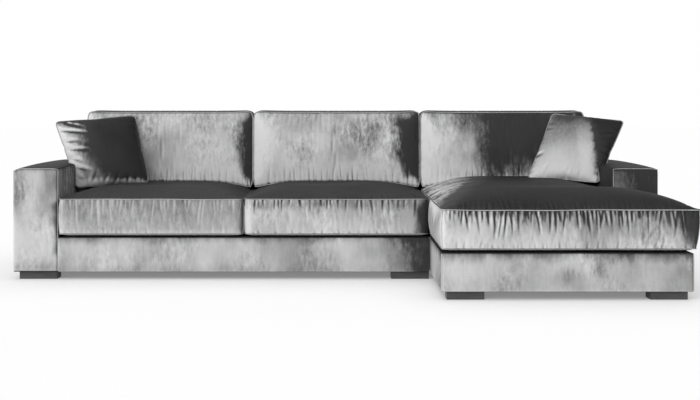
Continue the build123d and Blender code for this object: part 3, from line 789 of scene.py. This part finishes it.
# Each is (seed, spacing, reach, depth, groove, ridge, thin); groove and ridge are a fold's painted shade or
# highlight, and on the left cushion the grooves are painted pale as light streaks.
seat_folds = {
    "left": ((11, 0.034, 0.17, 0.0016, 0.24, -0.06, 0.62), (12, 0.03, 0.05, 0.0015, 0.16, 0.0, 0.7)),
    "middle": ((21, 0.036, 0.10, 0.0062, -0.14, 0.16, 0.75), (22, 0.05, 0.04, 0.003, -0.08, 0.1)),
}
section_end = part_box("two_seat_cross_rails")[1][0] - PIPING_RADIUS
for key, look in seat_looks.items():
    low, high = cushion_box(f"seat_cushion_{key}_cover")
    x0, x1 = low.x + 0.001, high.x - 0.001
    corner_low = Vector((x0, SEAT_FRONT_FACE, low.z))
    corner_high = Vector((x1, high.y, WELT_HEIGHT))
    (seed, *upper), (low_seed, *lower) = seat_folds[key]
    seams = [
        seam_gathers(seed, ("front",), "top", x0, x1, *upper),
        seam_gathers(low_seed, ("front",), "bottom", x0, x1, *lower),
        seam_gathers(seed + 50, ("left", "right", "rear"), "top", corner_low.y, corner_high.y, 0.05, 0.06, 0.004),
    ]
    material = velvet(f"seat_velvet_{key}", **look)
    cushion, cord = boxed_cushion(f"seat_cushion_{key}", f"seat_cushion_{key}", corner_low, corner_high,
                                  SEAT_RISE, 0.30, 0.006, corner_round[key], seams, material,
                                  lift=SEAM_LIFT, limits=(-9, section_end if key == "middle" else 9, -9))
    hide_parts(f"seat_cushion_{key}_cover")
print("seat cushions made")

# %% [markdown]
# ## The chaise cushion
# One cushion runs from the chaise's front to its back and widens in front of the right arm, so its
# pattern is an L. Only its boxing changes: the cloth here was eased hard into the top seam, so the front
# is full of folds that run down from the piping in long Vs.

# %% Chaise cushion
CORNER_SPREAD = 0.25
section_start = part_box("chaise_cross_rails")[0][0] + PIPING_RADIUS
chaise_low, chaise_high = cushion_box("chaise_cushion_cover")
right_arm_low, right_arm_high = cushion_box("right_arm_cover")
left_arm_low, left_arm_high = cushion_box("left_arm_cover")
chaise_corner_low = Vector((chaise_low.x + 0.001, chaise_low.y + 0.003, chaise_low.z))
chaise_corner_high = Vector((chaise_high.x - 0.004, chaise_high.y, WELT_HEIGHT))
chaise_notch = (right_arm_low.x - 0.002, right_arm_low.y - 0.004)
# Each seam's groove and ridge numbers paint shade into its folds' grooves and highlight onto their ridges, drawing
# the dark Vs.
chaise_seams = [
    seam_gathers(31, ("front",), "top", chaise_corner_low.x, chaise_corner_high.x, 0.022, 0.15, 0.0080, -0.14, 0.24, 0.78),
    seam_gathers(32, ("front",), "top", chaise_corner_low.x, chaise_corner_high.x, 0.016, 0.08, 0.0055, -0.12, 0.16, 0.74),
    seam_gathers(33, ("front",), "bottom", chaise_corner_low.x, chaise_corner_high.x, 0.030, 0.05, 0.0030, -0.08, 0.10, 0.8),
    seam_gathers(34, ("left", "right", "rear"), "top", chaise_corner_low.y, chaise_corner_high.y, 0.04, 0.07, 0.004),
]
# The patch over the top, from z 0.392, is painted shade that darkens the cushion's upward face; far_side is painted
# sheen on its right side.
chaise_velvet = velvet("chaise_velvet", seed=3.0, pale_from=0.16, pale_to=0.92, clouds=0.7, shear=0.30,
                       far_side=1.22,
                       patches=((-0.16, (1.27, 1.9), (0.2, 0.39), 0.10),
                                (-0.12, (1.05, 1.9), (0.335, 0.39), 0.06),
                                (-0.30, (1.74, 1.9), (0.2, 0.40), 0.03),
                                (-0.45, (0.78, 2.2), (0.392, 0.5), 0.04),
                                (0.92, (0.20, 0.69), (0.392, 0.5), 0.085)))


def chaise_spread(x, y, level):
    """Let the far front corner stand out to the side, most at its top seam."""
    across = max(0.0, 1 - (chaise_corner_high.x - x) / CORNER_SPREAD)
    forward = max(0.0, 1 - (y - chaise_corner_low.y) / (2 * CORNER_SPREAD))
    return Vector((0.016 * across ** 2 * forward * level, 0, 0))


chaise_cushion, chaise_cord = boxed_cushion("chaise_cushion", "chaise_cushion", chaise_corner_low,
                                            chaise_corner_high, 0.066, 0.34, 0.008, 0.014, chaise_seams,
                                            chaise_velvet, notch=chaise_notch, lift=SEAM_LIFT,
                                            steps=(FINE_STEP, 0.021, WALL_STEP), squeeze=0.07,
                                            sag=chaise_spread, limits=(section_start, 9, SEAT_FRONT + 0.02),
                                            posts=((chaise_corner_low.x, chaise_corner_low.y),
                                                   (chaise_corner_high.x, chaise_corner_low.y)))
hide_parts("chaise_cushion_cover")

# %% [markdown]
# ## Back cushions
# These are boxed cushions too, only they stand up. Each is built lying on its rear panel, front upwards,
# and then turned up and leaned back by one matrix. Their fibre filling has settled, so the lower edge
# hangs into the dips between the seat cushions, and the top corners stand out like small ears.


# %% Back cushions
BACK_LEAN = math.radians(3)
BACK_DEPTH = 0.285
BACK_BOTTOM = 0.452
BACK_HEIGHT = 0.340


def back_sag(low, high):
    """How the settled filling moves the lower edge and the top corners of a back cushion."""
    def move(x, v, level):
        across = (x - low.x) / (high.x - low.x) * 2 - 1
        up = (v - low.y) / (high.y - low.y)
        drop = -0.068 * abs(across) ** 4 * (1 - up) ** 3 * level
        ear = 0.009 * abs(across) ** 8 * up ** 6
        slump = (1 - abs(across) ** 4) * (1 - up) ** 4 * level
        return Vector((0, drop + ear - 0.030 * slump, 0.010 * slump))
    return move


back_looks = {
    "left": dict(seed=4.0, pale_to=0.82, clouds=0.60, toward=(-0.60, -0.66, -0.22),
                 patches=((-0.40, (-0.500, -0.36), (0.42, 0.785), 0.052),
                          (-0.06, (-1.05, -0.72), (0.46, 0.72), 0.08),
                          (0.16, (-1.4, -0.5), (0.38, 0.452), 0.016))),
    "middle": dict(seed=5.0, pale_to=0.78, clouds=0.60, toward=(-0.60, -0.66, -0.22),
                   patches=((-0.46, (0.33, 0.56), (0.43, 0.80), 0.060),
                            (-0.13, (-0.02, 0.22), (0.55, 0.75), 0.06),
                            (-0.12, (-0.20, -0.15), (0.52, 0.62), 0.04),
                            (0.14, (-0.45, 0.5), (0.38, 0.452), 0.016))),
    "right": dict(seed=6.0, pale_to=0.90, clouds=0.9, far_side=1.30,
                  patches=((-0.36, (0.82, 1.45), (0.45, 0.80), 0.085),
                           (-0.20, (0.68, 1.45), (0.50, 0.84), 0.12),
                           (0.22, (0.45, 1.4), (0.38, 0.455), 0.018))),
}
for key, look in back_looks.items():
    low, high = cushion_box(f"back_cushion_{key}_cover")
    rear = high.y
    foot_y = rear - (high.z - BACK_BOTTOM) * math.sin(BACK_LEAN)
    local_low = Vector((low.x + 0.001, 0.0, 0.0))
    local_high = Vector((high.x - 0.001, BACK_HEIGHT, BACK_DEPTH - 0.008))
    place = (Matrix.Translation((0, foot_y, BACK_BOTTOM)) @ Matrix.Rotation(-BACK_LEAN, 4, "X")
             @ Matrix(((1, 0, 0, 0), (0, 0, -1, 0), (0, 1, 0, 0), (0, 0, 0, 1))))
    # The front seam's gathers get painted shade in their grooves and painted highlight on their ridges.
    seams = [
        seam_gathers(61 + len(key), ("front",), "top", local_low.x, local_high.x, 0.020, 0.080, 0.0065, -0.10, 0.22, 0.8),
        seam_gathers(71 + len(key), ("left", "right"), "top", local_low.y, local_high.y, 0.03, 0.06, 0.004),
    ]
    material = velvet(f"back_velvet_{key}", **look)
    cushion, cord = boxed_cushion(f"back_cushion_{key}", f"back_cushion_{key}", local_low, local_high,
                                  0.026, 0.16, 0.010, 0.035, seams, material, place=place,
                                  sag=back_sag(local_low, local_high),
                                  limits=(-9, section_end if key == "middle" else 9, -9))
    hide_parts(f"back_cushion_{key}_cover")
print("back cushions made")

# %% [markdown]
# ## Scatter cushions
# A scatter cushion has no boxing: two squares are sewn edge to edge and stuffed, so its edge is a knife
# edge and its corners stay flat and pointed. Blowing up two flat squares as cloth gives that form, with
# the small puckers along the seams, better than any formula.

# %% Scatter cushions
SCATTER_SIDE = 0.40
SCATTER_PLUMP = 0.072
SCATTER_DRAW = -0.03
CORNER_TIP = 0.022
ARM_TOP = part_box("left_arm_cover")[1].z
scatter_corners = {
    "left": ((-1.462, 0.215, 0.757), (-1.075, 0.385, 0.790), (-0.982, 0.275, 0.440), (-1.330, 0.125, 0.420)),
    "right": ((1.160, 0.385, 0.800), (1.500, 0.205, 0.762), (1.335, 0.050, 0.452), (1.002, 0.225, 0.465)),
}
scatter_looks = {
    "left": dict(seed=7.0, pale_from=0.44, pale_to=1.20, clouds=0.8,
                 patches=((0.36, (-1.5, -1.275), (0.42, 0.8), 0.09), (0.40, (-1.38, -0.99), (0.38, 0.462), 0.018))),
    "right": dict(seed=8.6, pale_from=0.06, pale_to=0.98, clouds=0.25, crush=0.25,
                  patches=((-0.70, (1.335, 1.65), (0.35, 0.90), 0.030), (0.12, (1.25, 1.32), (0.4, 0.8), 0.03),
                           (0.12, (0.95, 1.32), (0.38, 0.47), 0.015))),
}
pinch_folds = {
    "left": ((-0.97, 0.70, -0.30, 0.46), (-0.98, 0.34, -0.58, 0.28), (-0.96, 0.10, -0.40, -0.04),
             (-0.80, 0.92, -0.38, 0.66), (-0.97, -0.14, -0.66, -0.34), (-0.97, -0.40, -0.50, -0.62),
             (-0.96, -0.66, -0.74, -0.80), (-0.62, -0.98, -0.36, -0.58), (-0.30, -0.98, -0.10, -0.72),
             (0.02, -0.98, 0.22, -0.66), (0.38, -0.98, 0.46, -0.80)),
    "right": ((0.96, 0.55, 0.62, 0.36), (0.97, -0.20, 0.70, -0.12), (-0.55, -0.97, -0.50, -0.66),
              (0.05, -0.98, 0.10, -0.70), (0.45, -0.98, 0.42, -0.74), (-0.95, -0.40, -0.70, -0.36)),
}
PINCH_WIDTH = 0.034
PINCH_DEPTH = 0.0075


def pinch(u, v, folds):
    """How deep a pinch fold presses the cloth at a place of the pillow, and the painted shade in it and painted
    highlight beside it.
    """
    depth, painted_fold_light = 0.0, 0.0
    for u0, v0, u1, v1 in folds:
        run = Vector((u1 - u0, v1 - v0))
        way = Vector((u - u0, v - v0))
        share = way.dot(run) / run.length_squared
        if not 0 < share < 1:
            continue
        offset = (run.x * way.y - run.y * way.x) / run.length / PINCH_WIDTH
        fade = math.sin(math.pi * min(1.0, 0.25 + 0.75 * share))
        depth += PINCH_DEPTH * math.exp(-offset * offset) * fade
        # Painted highlight beside the fold and painted shade along its middle.
        painted_fold_light += fade * (0.26 * math.exp(-((offset - 1.6) ** 2)) - 0.20 * math.exp(-offset * offset))
    return depth, painted_fold_light


def scatter_pattern(side, step):
    """Two squares joined at their edges and plumped apart, their sides drawn in between the corners."""
    count = round(side / step)
    bm = bmesh.new()
    bmesh.ops.create_grid(bm, x_segments=count, y_segments=count, size=side / 2)
    for vert in bm.verts:
        u, v = vert.co.x / side * 2, vert.co.y / side * 2
        fullness = max(0.0, (1 - u * u) * (1 - v * v)) ** 0.6
        vert.co.x *= 1 - SCATTER_DRAW * (1 - v * v)
        vert.co.y *= 1 - SCATTER_DRAW * (1 - u * u)
        vert.co.x, vert.co.y = round_corner(vert.co.x, vert.co.y, (-side / 2,) * 2, (side / 2,) * 2, CORNER_TIP)
        vert.co.z = SCATTER_PLUMP * fullness + wobble((u * 2, v * 2, 1), 1.0, 0.006) * fullness
    copy = bmesh.ops.duplicate(bm, geom=bm.verts[:] + bm.edges[:] + bm.faces[:])["geom"]
    lower = [g for g in copy if isinstance(g, bmesh.types.BMVert)]
    bmesh.ops.scale(bm, vec=(1, 1, -1), verts=lower)
    bmesh.ops.reverse_faces(bm, faces=[g for g in copy if isinstance(g, bmesh.types.BMFace)])
    bmesh.ops.remove_doubles(bm, verts=bm.verts, dist=1e-5)
    bmesh.ops.recalc_face_normals(bm, faces=bm.faces)
    bm.edges.layers.float.new("crease_edge")
    bm.verts.layers.float.new("fold")
    return bm


def onto_corners(co, corners, face, half):
    """Lay a point of the flat pillow on the sheet between four corners in the room."""
    u = (co.x / half + 1) / 2
    v = (co.y / half + 1) / 2
    top_left, top_right, low_right, low_left = corners
    upper = top_left.lerp(top_right, u)
    lower = low_left.lerp(low_right, u)
    return lower.lerp(upper, v) + face * co.z


def clear_of_arm(co, inner):
    """Bend a point that would lie in the arm out of it, over its top or off its inner side."""
    side = 1 if inner > 0 else -1
    into_side = (co.x - inner) * side + 0.004
    under_top = ARM_TOP + 0.004 - co.z
    if into_side <= 0 or under_top <= 0:
        return co
    if into_side < under_top * 1.4:
        return Vector((co.x - side * into_side, co.y - into_side * 0.35, co.z))
    return Vector((co.x, co.y, co.z + under_top))


for key, corners in scatter_corners.items():
    corners = [Vector(c) for c in corners]
    face = (corners[1] - corners[3]).cross(corners[0] - corners[2]).normalized()
    half = SCATTER_SIDE / 2
    inner = (left_arm_high if key == "left" else right_arm_low).x
    bm = scatter_pattern(SCATTER_SIDE, 0.009)
    rim = [e for e in bm.edges if all(abs(v.co.z) < 1e-6 for v in e.verts)]
    order = edge_loop(rim)
    corner_points = [max(order, key=lambda v: v.co.x * a + v.co.y * b) for a in (-1, 1) for b in (-1, 1)]
    inflate(bm, corner_points, 5.0, 0.016, 0.0, stiffness=9.0)
    rng = random.Random(80 + len(key))
    puckers = [make_gathers(rng, -half, half, 0.026, 0.07, 0.0042) for _ in range(4)]
    moves = []
    for vert in bm.verts:
        x, y = vert.co.x, vert.co.y
        sides = ((half - abs(x), y, 0 if x < 0 else 1), (half - abs(y), x, 2 if y < 0 else 3))
        away, along, index = min(sides)
        depth, groove, ridge = gather_depth(puckers[index], along, max(0.0, away))
        pressed, painted_fold_light = pinch(x / half, y / half, pinch_folds[key])
        # Painted shade in the puckers' grooves and painted highlight on their ridges join the pinch folds' own.
        moves.append((vert, depth + pressed, painted_fold_light - 0.12 * groove + 0.2 * ridge))
    fold = bm.verts.layers.float["fold"]
    for vert, depth, painted_fold_light in moves:
        vert.co.z -= math.copysign(min(depth, abs(vert.co.z) * 0.5), vert.co.z)
        vert[fold] = painted_fold_light
    for vert in bm.verts:
        vert.co = clear_of_arm(onto_corners(vert.co, corners, face, half), inner)
    line = [v.co.copy() for v in order]
    bm = refine(bm, rim)
    cushion = finish_piece(f"scatter_cushion_{key}", bm, f"scatter_cushion_{key}",
                           velvet(f"scatter_velvet_{key}", **scatter_looks[key]))
    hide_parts(f"scatter_cushion_{key}_cover", f"scatter_cushion_{key}_pad")
    piping = bmesh.new()
    piping_points(piping, line, PIPING_RADIUS)
    finish_piece(f"scatter_cushion_{key}_piping", piping, f"scatter_cushion_{key}", piping_velvet)
    print("scatter cushion", key, len(cushion.data.polygons), "faces")

# %% [markdown]
# ## Arms, bases and backs
# The fixed covers are stretched over padded boards and stapled underneath. They are boxes whose edges
# have rounded over, with a little ripple in the cloth. Each takes the place and the size of its solid.


# %% Fixed covers
def upholstered(name, body, nodes, low, high, step, shape, material, rounding):
    """A closed cover between two corners, its edges rounded and its points moved by shape(point).

    rounding is how far the rounding of an edge reaches along X, Y and Z.
    """
    bm = boxed_grid(low, high, step)
    for axis in range(3):
        places = sorted({round(v.co[axis], 6) for v in bm.verts})
        for old, new in ((places[1], low[axis] + rounding[axis]), (places[-2], high[axis] - rounding[axis])):
            for vert in bm.verts:
                if abs(vert.co[axis] - old) < 1e-5:
                    vert.co[axis] = new
    for vert in bm.verts:
        near = Vector([min(max(vert.co[i], low[i] + rounding[i]), high[i] - rounding[i]) for i in range(3)])
        away = Vector([(vert.co[i] - near[i]) / rounding[i] for i in range(3)])
        if sum(abs(c) > 1e-4 for c in away) > 1:
            away.normalize()
            vert.co = near + Vector([away[i] * rounding[i] for i in range(3)])
        vert.co = shape(vert.co)
    cover = finish_piece(name, bm, body, material)
    rounder = cover.modifiers.new("rounder", "SUBSURF")
    rounder.levels = 1
    rounder.render_levels = 1
    if nodes:
        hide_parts(*nodes)
    print(name, len(cover.data.polygons), "faces")
    return cover


ARM_CROWN = 0.011
ARM_DOME = 0.011
ARM_ROUND = 0.009
OUTER_DROP = {"left": 0.013, "right": 0.005}
INNER_DROP = 0.003


def arm_crown(side, across, along):
    """How far an arm's top stands over its shoulder; across and along run from -1 to 1 over the top."""
    outer = across < 0 if side == "left" else across > 0
    dome = ARM_DOME * (1 - abs(along) ** 2.4) * (1 - 0.4 * across * across)
    return ARM_CROWN + dome - (OUTER_DROP[side] if outer else INNER_DROP) * abs(across) ** 7


# On the left arm, the patch low along its inner edge is painted shade where the seat cushion presses against it, and
# the patches at its upper outer and inner edges are painted shade along the edges of its front.
arm_looks = {
    "left": dict(seed=10.0, pale_from=0.10, pale_to=0.94, clouds=0.7, toward=(-0.50, -0.66, -0.45), far_side=1.02,
                 patches=((-0.36, (-1.362, -1.31), (0.12, 0.37), 0.024),
                          (-0.26, (-1.62, -1.530), (0.30, 0.58), 0.06),
                          (-0.20, (-1.425, -1.31), (0.28, 0.58), 0.05),
                          (-0.18, (-1.62, -1.31), (-0.05, 0.07), 0.04))),
    "right": dict(seed=11.0, pale_from=0.16, pale_to=0.96, clouds=0.7, toward=(-0.05, -0.62, -0.55),
                  patches=((-0.18, (1.30, 1.65), (-0.1, 0.70), 0.03), (-0.24, (1.40, 1.65), (-0.1, 0.70), 0.06))),
}
for side, body in (("left", "two_seat_section"), ("right", "chaise_section")):
    low, high = cushion_box(f"{side}_arm_cover")
    shoulder = high.z - ARM_CROWN

    def arm_shape(co, side=side, low=low, high=high, shoulder=shoulder):
        """Round the arm's top over its padding and ease a ripple into its cloth."""
        across = (co.x - (low.x + high.x) / 2) / ((high.x - low.x) / 2)
        up = min(1.0, max(0.0, (co.z - shoulder + 0.05) / 0.05))
        along = (co.y - (low.y + high.y) / 2) / ((high.y - low.y) / 2)
        puff = 0.002 * (1 - along * along)
        ripple = wobble((co.x, co.y, co.z), 6.0, 0.0012)
        crown = up * arm_crown(side, across, along)
        return co + Vector((ripple * (1 - abs(across)) + puff * across * 0.5, 0, crown))

    upholstered(f"{side}_arm", body, [f"{side}_arm_cover", f"{side}_arm_padding"], low,
                Vector((high.x, high.y, shoulder)), (0.016, 0.022, 0.016), arm_shape,
                velvet(f"arm_velvet_{side}", **arm_looks[side]), (ARM_ROUND,) * 3)
    for where, y in (("front", low.y), ("rear", high.y)):
        inset = ARM_ROUND * 0.3
        out = inset if where == "front" else -inset
        line = []
        arc = 14
        for step in range(arc + 1):
            across = -1 + 2 * step / arc
            x = (low.x + high.x) / 2 + across * ((high.x - low.x) / 2 - inset)
            line.append(Vector((x, y + out, shoulder - inset + arm_crown(side, across, 1))))
        if side == "left":
            line.append(Vector((high.x - inset, y + out, low.z + 0.004)))
        else:
            line.insert(0, Vector((low.x + inset, y + out, low.z + 0.004)))
        piping = bmesh.new()
        piping_points(piping, line, PIPING_RADIUS * 0.75, closed=False)
        finish_piece(f"{side}_arm_piping_{where}", piping, body, piping_velvet)

# %% Bases and backs
RIPPLE = 0.0016
BASE_ROUND = 0.004
BASE_PROUD = 0.0014
TOP_PROUD = 0.0006
JOIN_CLOTH = 0.0012
BACK_PROUD = 0.002
BACK_EDGES = (0.0025, 0.004, 0.016)


def base_shape(co):
    """A faint upright ripple in a base's stretched cloth."""
    return co + Vector((0, max(-RIPPLE, wobble((co.x * 2.2, 0, co.z * 0.6), 5.0, RIPPLE)), 0))


# The band along each base's top, up to z 0.25, is painted shadow under the seat cushions' overhang.
base_places = {
    "two_seat": ("two_seat_section", dict(seed=12.0, pale_from=0.04, pale_to=1.20, clouds=1.1,
                                          patches=((-0.42, (0.32, 0.50), (-0.05, 0.22), 0.08),
                                                   (-0.28, (-1.4, 0.5), (0.188, 0.25), 0.03),
                                                   (-0.10, (-1.4, 0.5), (-0.05, 0.055), 0.03)))),
    "chaise": ("chaise_section", dict(seed=13.0, pale_from=0.08, pale_to=1.02, clouds=1.0, far_side=1.10,
                                      patches=((-0.22, (1.10, 1.17), (0.10, 0.18), 0.035),
                                               (-0.16, (0.98, 1.03), (0.07, 0.15), 0.03),
                                               (-0.30, (0.4, 1.6), (0.184, 0.25), 0.03),
                                               (-0.12, (1.22, 1.7), (-0.05, 0.25), 0.08)))),
}
for key, (body, look) in base_places.items():
    low, high = cushion_box(f"{key}_base_cover")
    rear = low.y + 0.06 if key == "two_seat" else SEAT_FRONT
    low -= Vector((BASE_PROUD, BASE_PROUD, BASE_PROUD))
    high.x += BASE_PROUD
    panel_high = Vector((high.x, rear, high.z + TOP_PROUD))
    upholstered(f"{key}_base", body, [f"{key}_base_cover"], low, panel_high, (0.022, 0.022, 0.022), base_shape,
                velvet(f"base_velvet_{key}", **look), (BASE_ROUND,) * 3)
    if key == "chaise":
        for x in (low.x, high.x):
            inset = BASE_ROUND * 0.3
            x += inset if x == low.x else -inset
            piping = bmesh.new()
            line = [Vector((x, low.y + inset, z)) for z in (low.z + 0.003, high.z - 0.003)]
            piping_points(piping, line, PIPING_RADIUS * 0.7, closed=False)
            end = "near" if x < 1 else "far"
            finish_piece(f"chaise_base_piping_{end}", piping, body, piping_velvet)
    rail_low, rail_high = cushion_box(f"{key}_cross_rails")
    side_x = rail_high.x if key == "two_seat" else rail_low.x - JOIN_CLOTH
    side_low = Vector((side_x, SEAT_FRONT + JOIN_CLOTH, low.z))
    side_high = Vector((side_x + JOIN_CLOTH, rail_high.y, high.z - JOIN_CLOTH))
    upholstered(f"{key}_join_side", body, [], side_low, side_high, (0.001, 0.03, 0.03), lambda co: co,
                finishes["velvet"], (JOIN_CLOTH / 4,) * 3)
    low, high = cushion_box(f"{key}_back_cover")
    low -= Vector((BACK_PROUD, 0, BASE_PROUD))
    high.x += BACK_PROUD
    lean = math.radians(5)

    def back_shape(co, low=low, high=high, lean=lean):
        """Lean the front of the back and keep its rear upright."""
        depth = (high.y - co.y) / (high.y - low.y)
        rise = max(0.0, co.z - SEAT_DECK)
        return co + Vector((0, rise * math.tan(lean) * depth, 0))

    upholstered(f"{key}_back", body, [f"{key}_back_cover", f"{key}_back_padding"],
                low, high, (0.03, 0.03, 0.03), back_shape,
                velvet(f"outside_velvet_{key}", seed=14.0, pale_from=0.22, pale_to=0.9), BACK_EDGES)

# %% [markdown]
# ## Floor, light and background
# A pale floor keeps the sofa's soft contact shadow, and the photograph's pure white around it comes from
# what the camera ray alone sees, not from more light on the velvet.

# %% Floor
FLOOR_GLOW = 0.22
FLOOR_SEEN = (0.78, 0.78, 0.78, 1.0)
FLOOR_BOUNCE = (0.80, 0.80, 0.80, 1.0)
floor_mesh = bpy.data.meshes.new("floor")
floor_bm = bmesh.new()
bmesh.ops.create_grid(floor_bm, x_segments=1, y_segments=1, size=60.0)
floor_bm.to_mesh(floor_mesh)
floor_bm.free()
floor = bpy.data.objects.new("floor", floor_mesh)
bpy.context.scene.collection.objects.link(floor)
floor_material = bpy.data.materials.new("floor")
floor_material.use_nodes = True
floor_tree = floor_material.node_tree
floor_shader = floor_tree.nodes["Principled BSDF"]
floor_shader.inputs["Roughness"].default_value = 0.9
floor_shader.inputs["Specular IOR Level"].default_value = 0.0
floor_shader.inputs["Emission Color"].default_value = (1, 1, 1, 1)


def seen_directly(tree):
    """1 for camera, glossy and transmitted rays, and 0 for the rest."""
    path = tree.nodes.new("ShaderNodeLightPath")
    seen = math_node(tree, "MAXIMUM", path.outputs["Is Camera Ray"], path.outputs["Is Glossy Ray"])
    return math_node(tree, "MAXIMUM", seen, path.outputs["Is Transmission Ray"])


seen = seen_directly(floor_tree)
floor_colour = add_node(floor_tree, "ShaderNodeMix", data_type="RGBA")
floor_tree.links.new(seen, floor_colour.inputs["Factor"])
floor_colour.inputs[6].default_value = FLOOR_BOUNCE
floor_colour.inputs[7].default_value = FLOOR_SEEN
floor_tree.links.new(floor_colour.outputs[2], floor_shader.inputs["Base Color"])
floor_tree.links.new(math_node(floor_tree, "MULTIPLY", seen, FLOOR_GLOW), floor_shader.inputs["Emission Strength"])
floor_mesh.materials.append(floor_material)

# %% World and lamps
WORLD_LIGHT = 0.62
world = bpy.data.worlds.new("world")
bpy.context.scene.world = world
world.use_nodes = True
tree = world.node_tree
background = tree.nodes["Background"]
background.inputs["Color"].default_value = (1, 1, 1, 1)
background.inputs["Strength"].default_value = WORLD_LIGHT
white = add_node(tree, "ShaderNodeBackground", Strength=1.0)
white.inputs["Color"].default_value = (1, 1, 1, 1)
mixer = tree.nodes.new("ShaderNodeMixShader")
tree.links.new(seen_directly(tree), mixer.inputs[0])
tree.links.new(background.outputs[0], mixer.inputs[1])
tree.links.new(white.outputs[0], mixer.inputs[2])
tree.links.new(mixer.outputs[0], tree.nodes["World Output"].inputs["Surface"])


def soft_sun(name, toward_light, spread, strength):
    """A wide sun whose light comes from a direction."""
    data = bpy.data.lights.new(name, "SUN")
    data.angle = math.radians(spread)
    data.energy = strength
    lamp = bpy.data.objects.new(name, data)
    lamp.location = Vector(toward_light) * 4
    lamp.rotation_euler = Vector(toward_light).to_track_quat("Z", "Y").to_euler()
    bpy.context.scene.collection.objects.link(lamp)
    return lamp


soft_sun("key", (-0.55, -0.85, 0.60), 50, 1.35)
soft_sun("top", (0.1, 0.55, 1.0), 50, 0.55)
bpy.context.scene.view_settings.view_transform = "Standard"
print("lit")
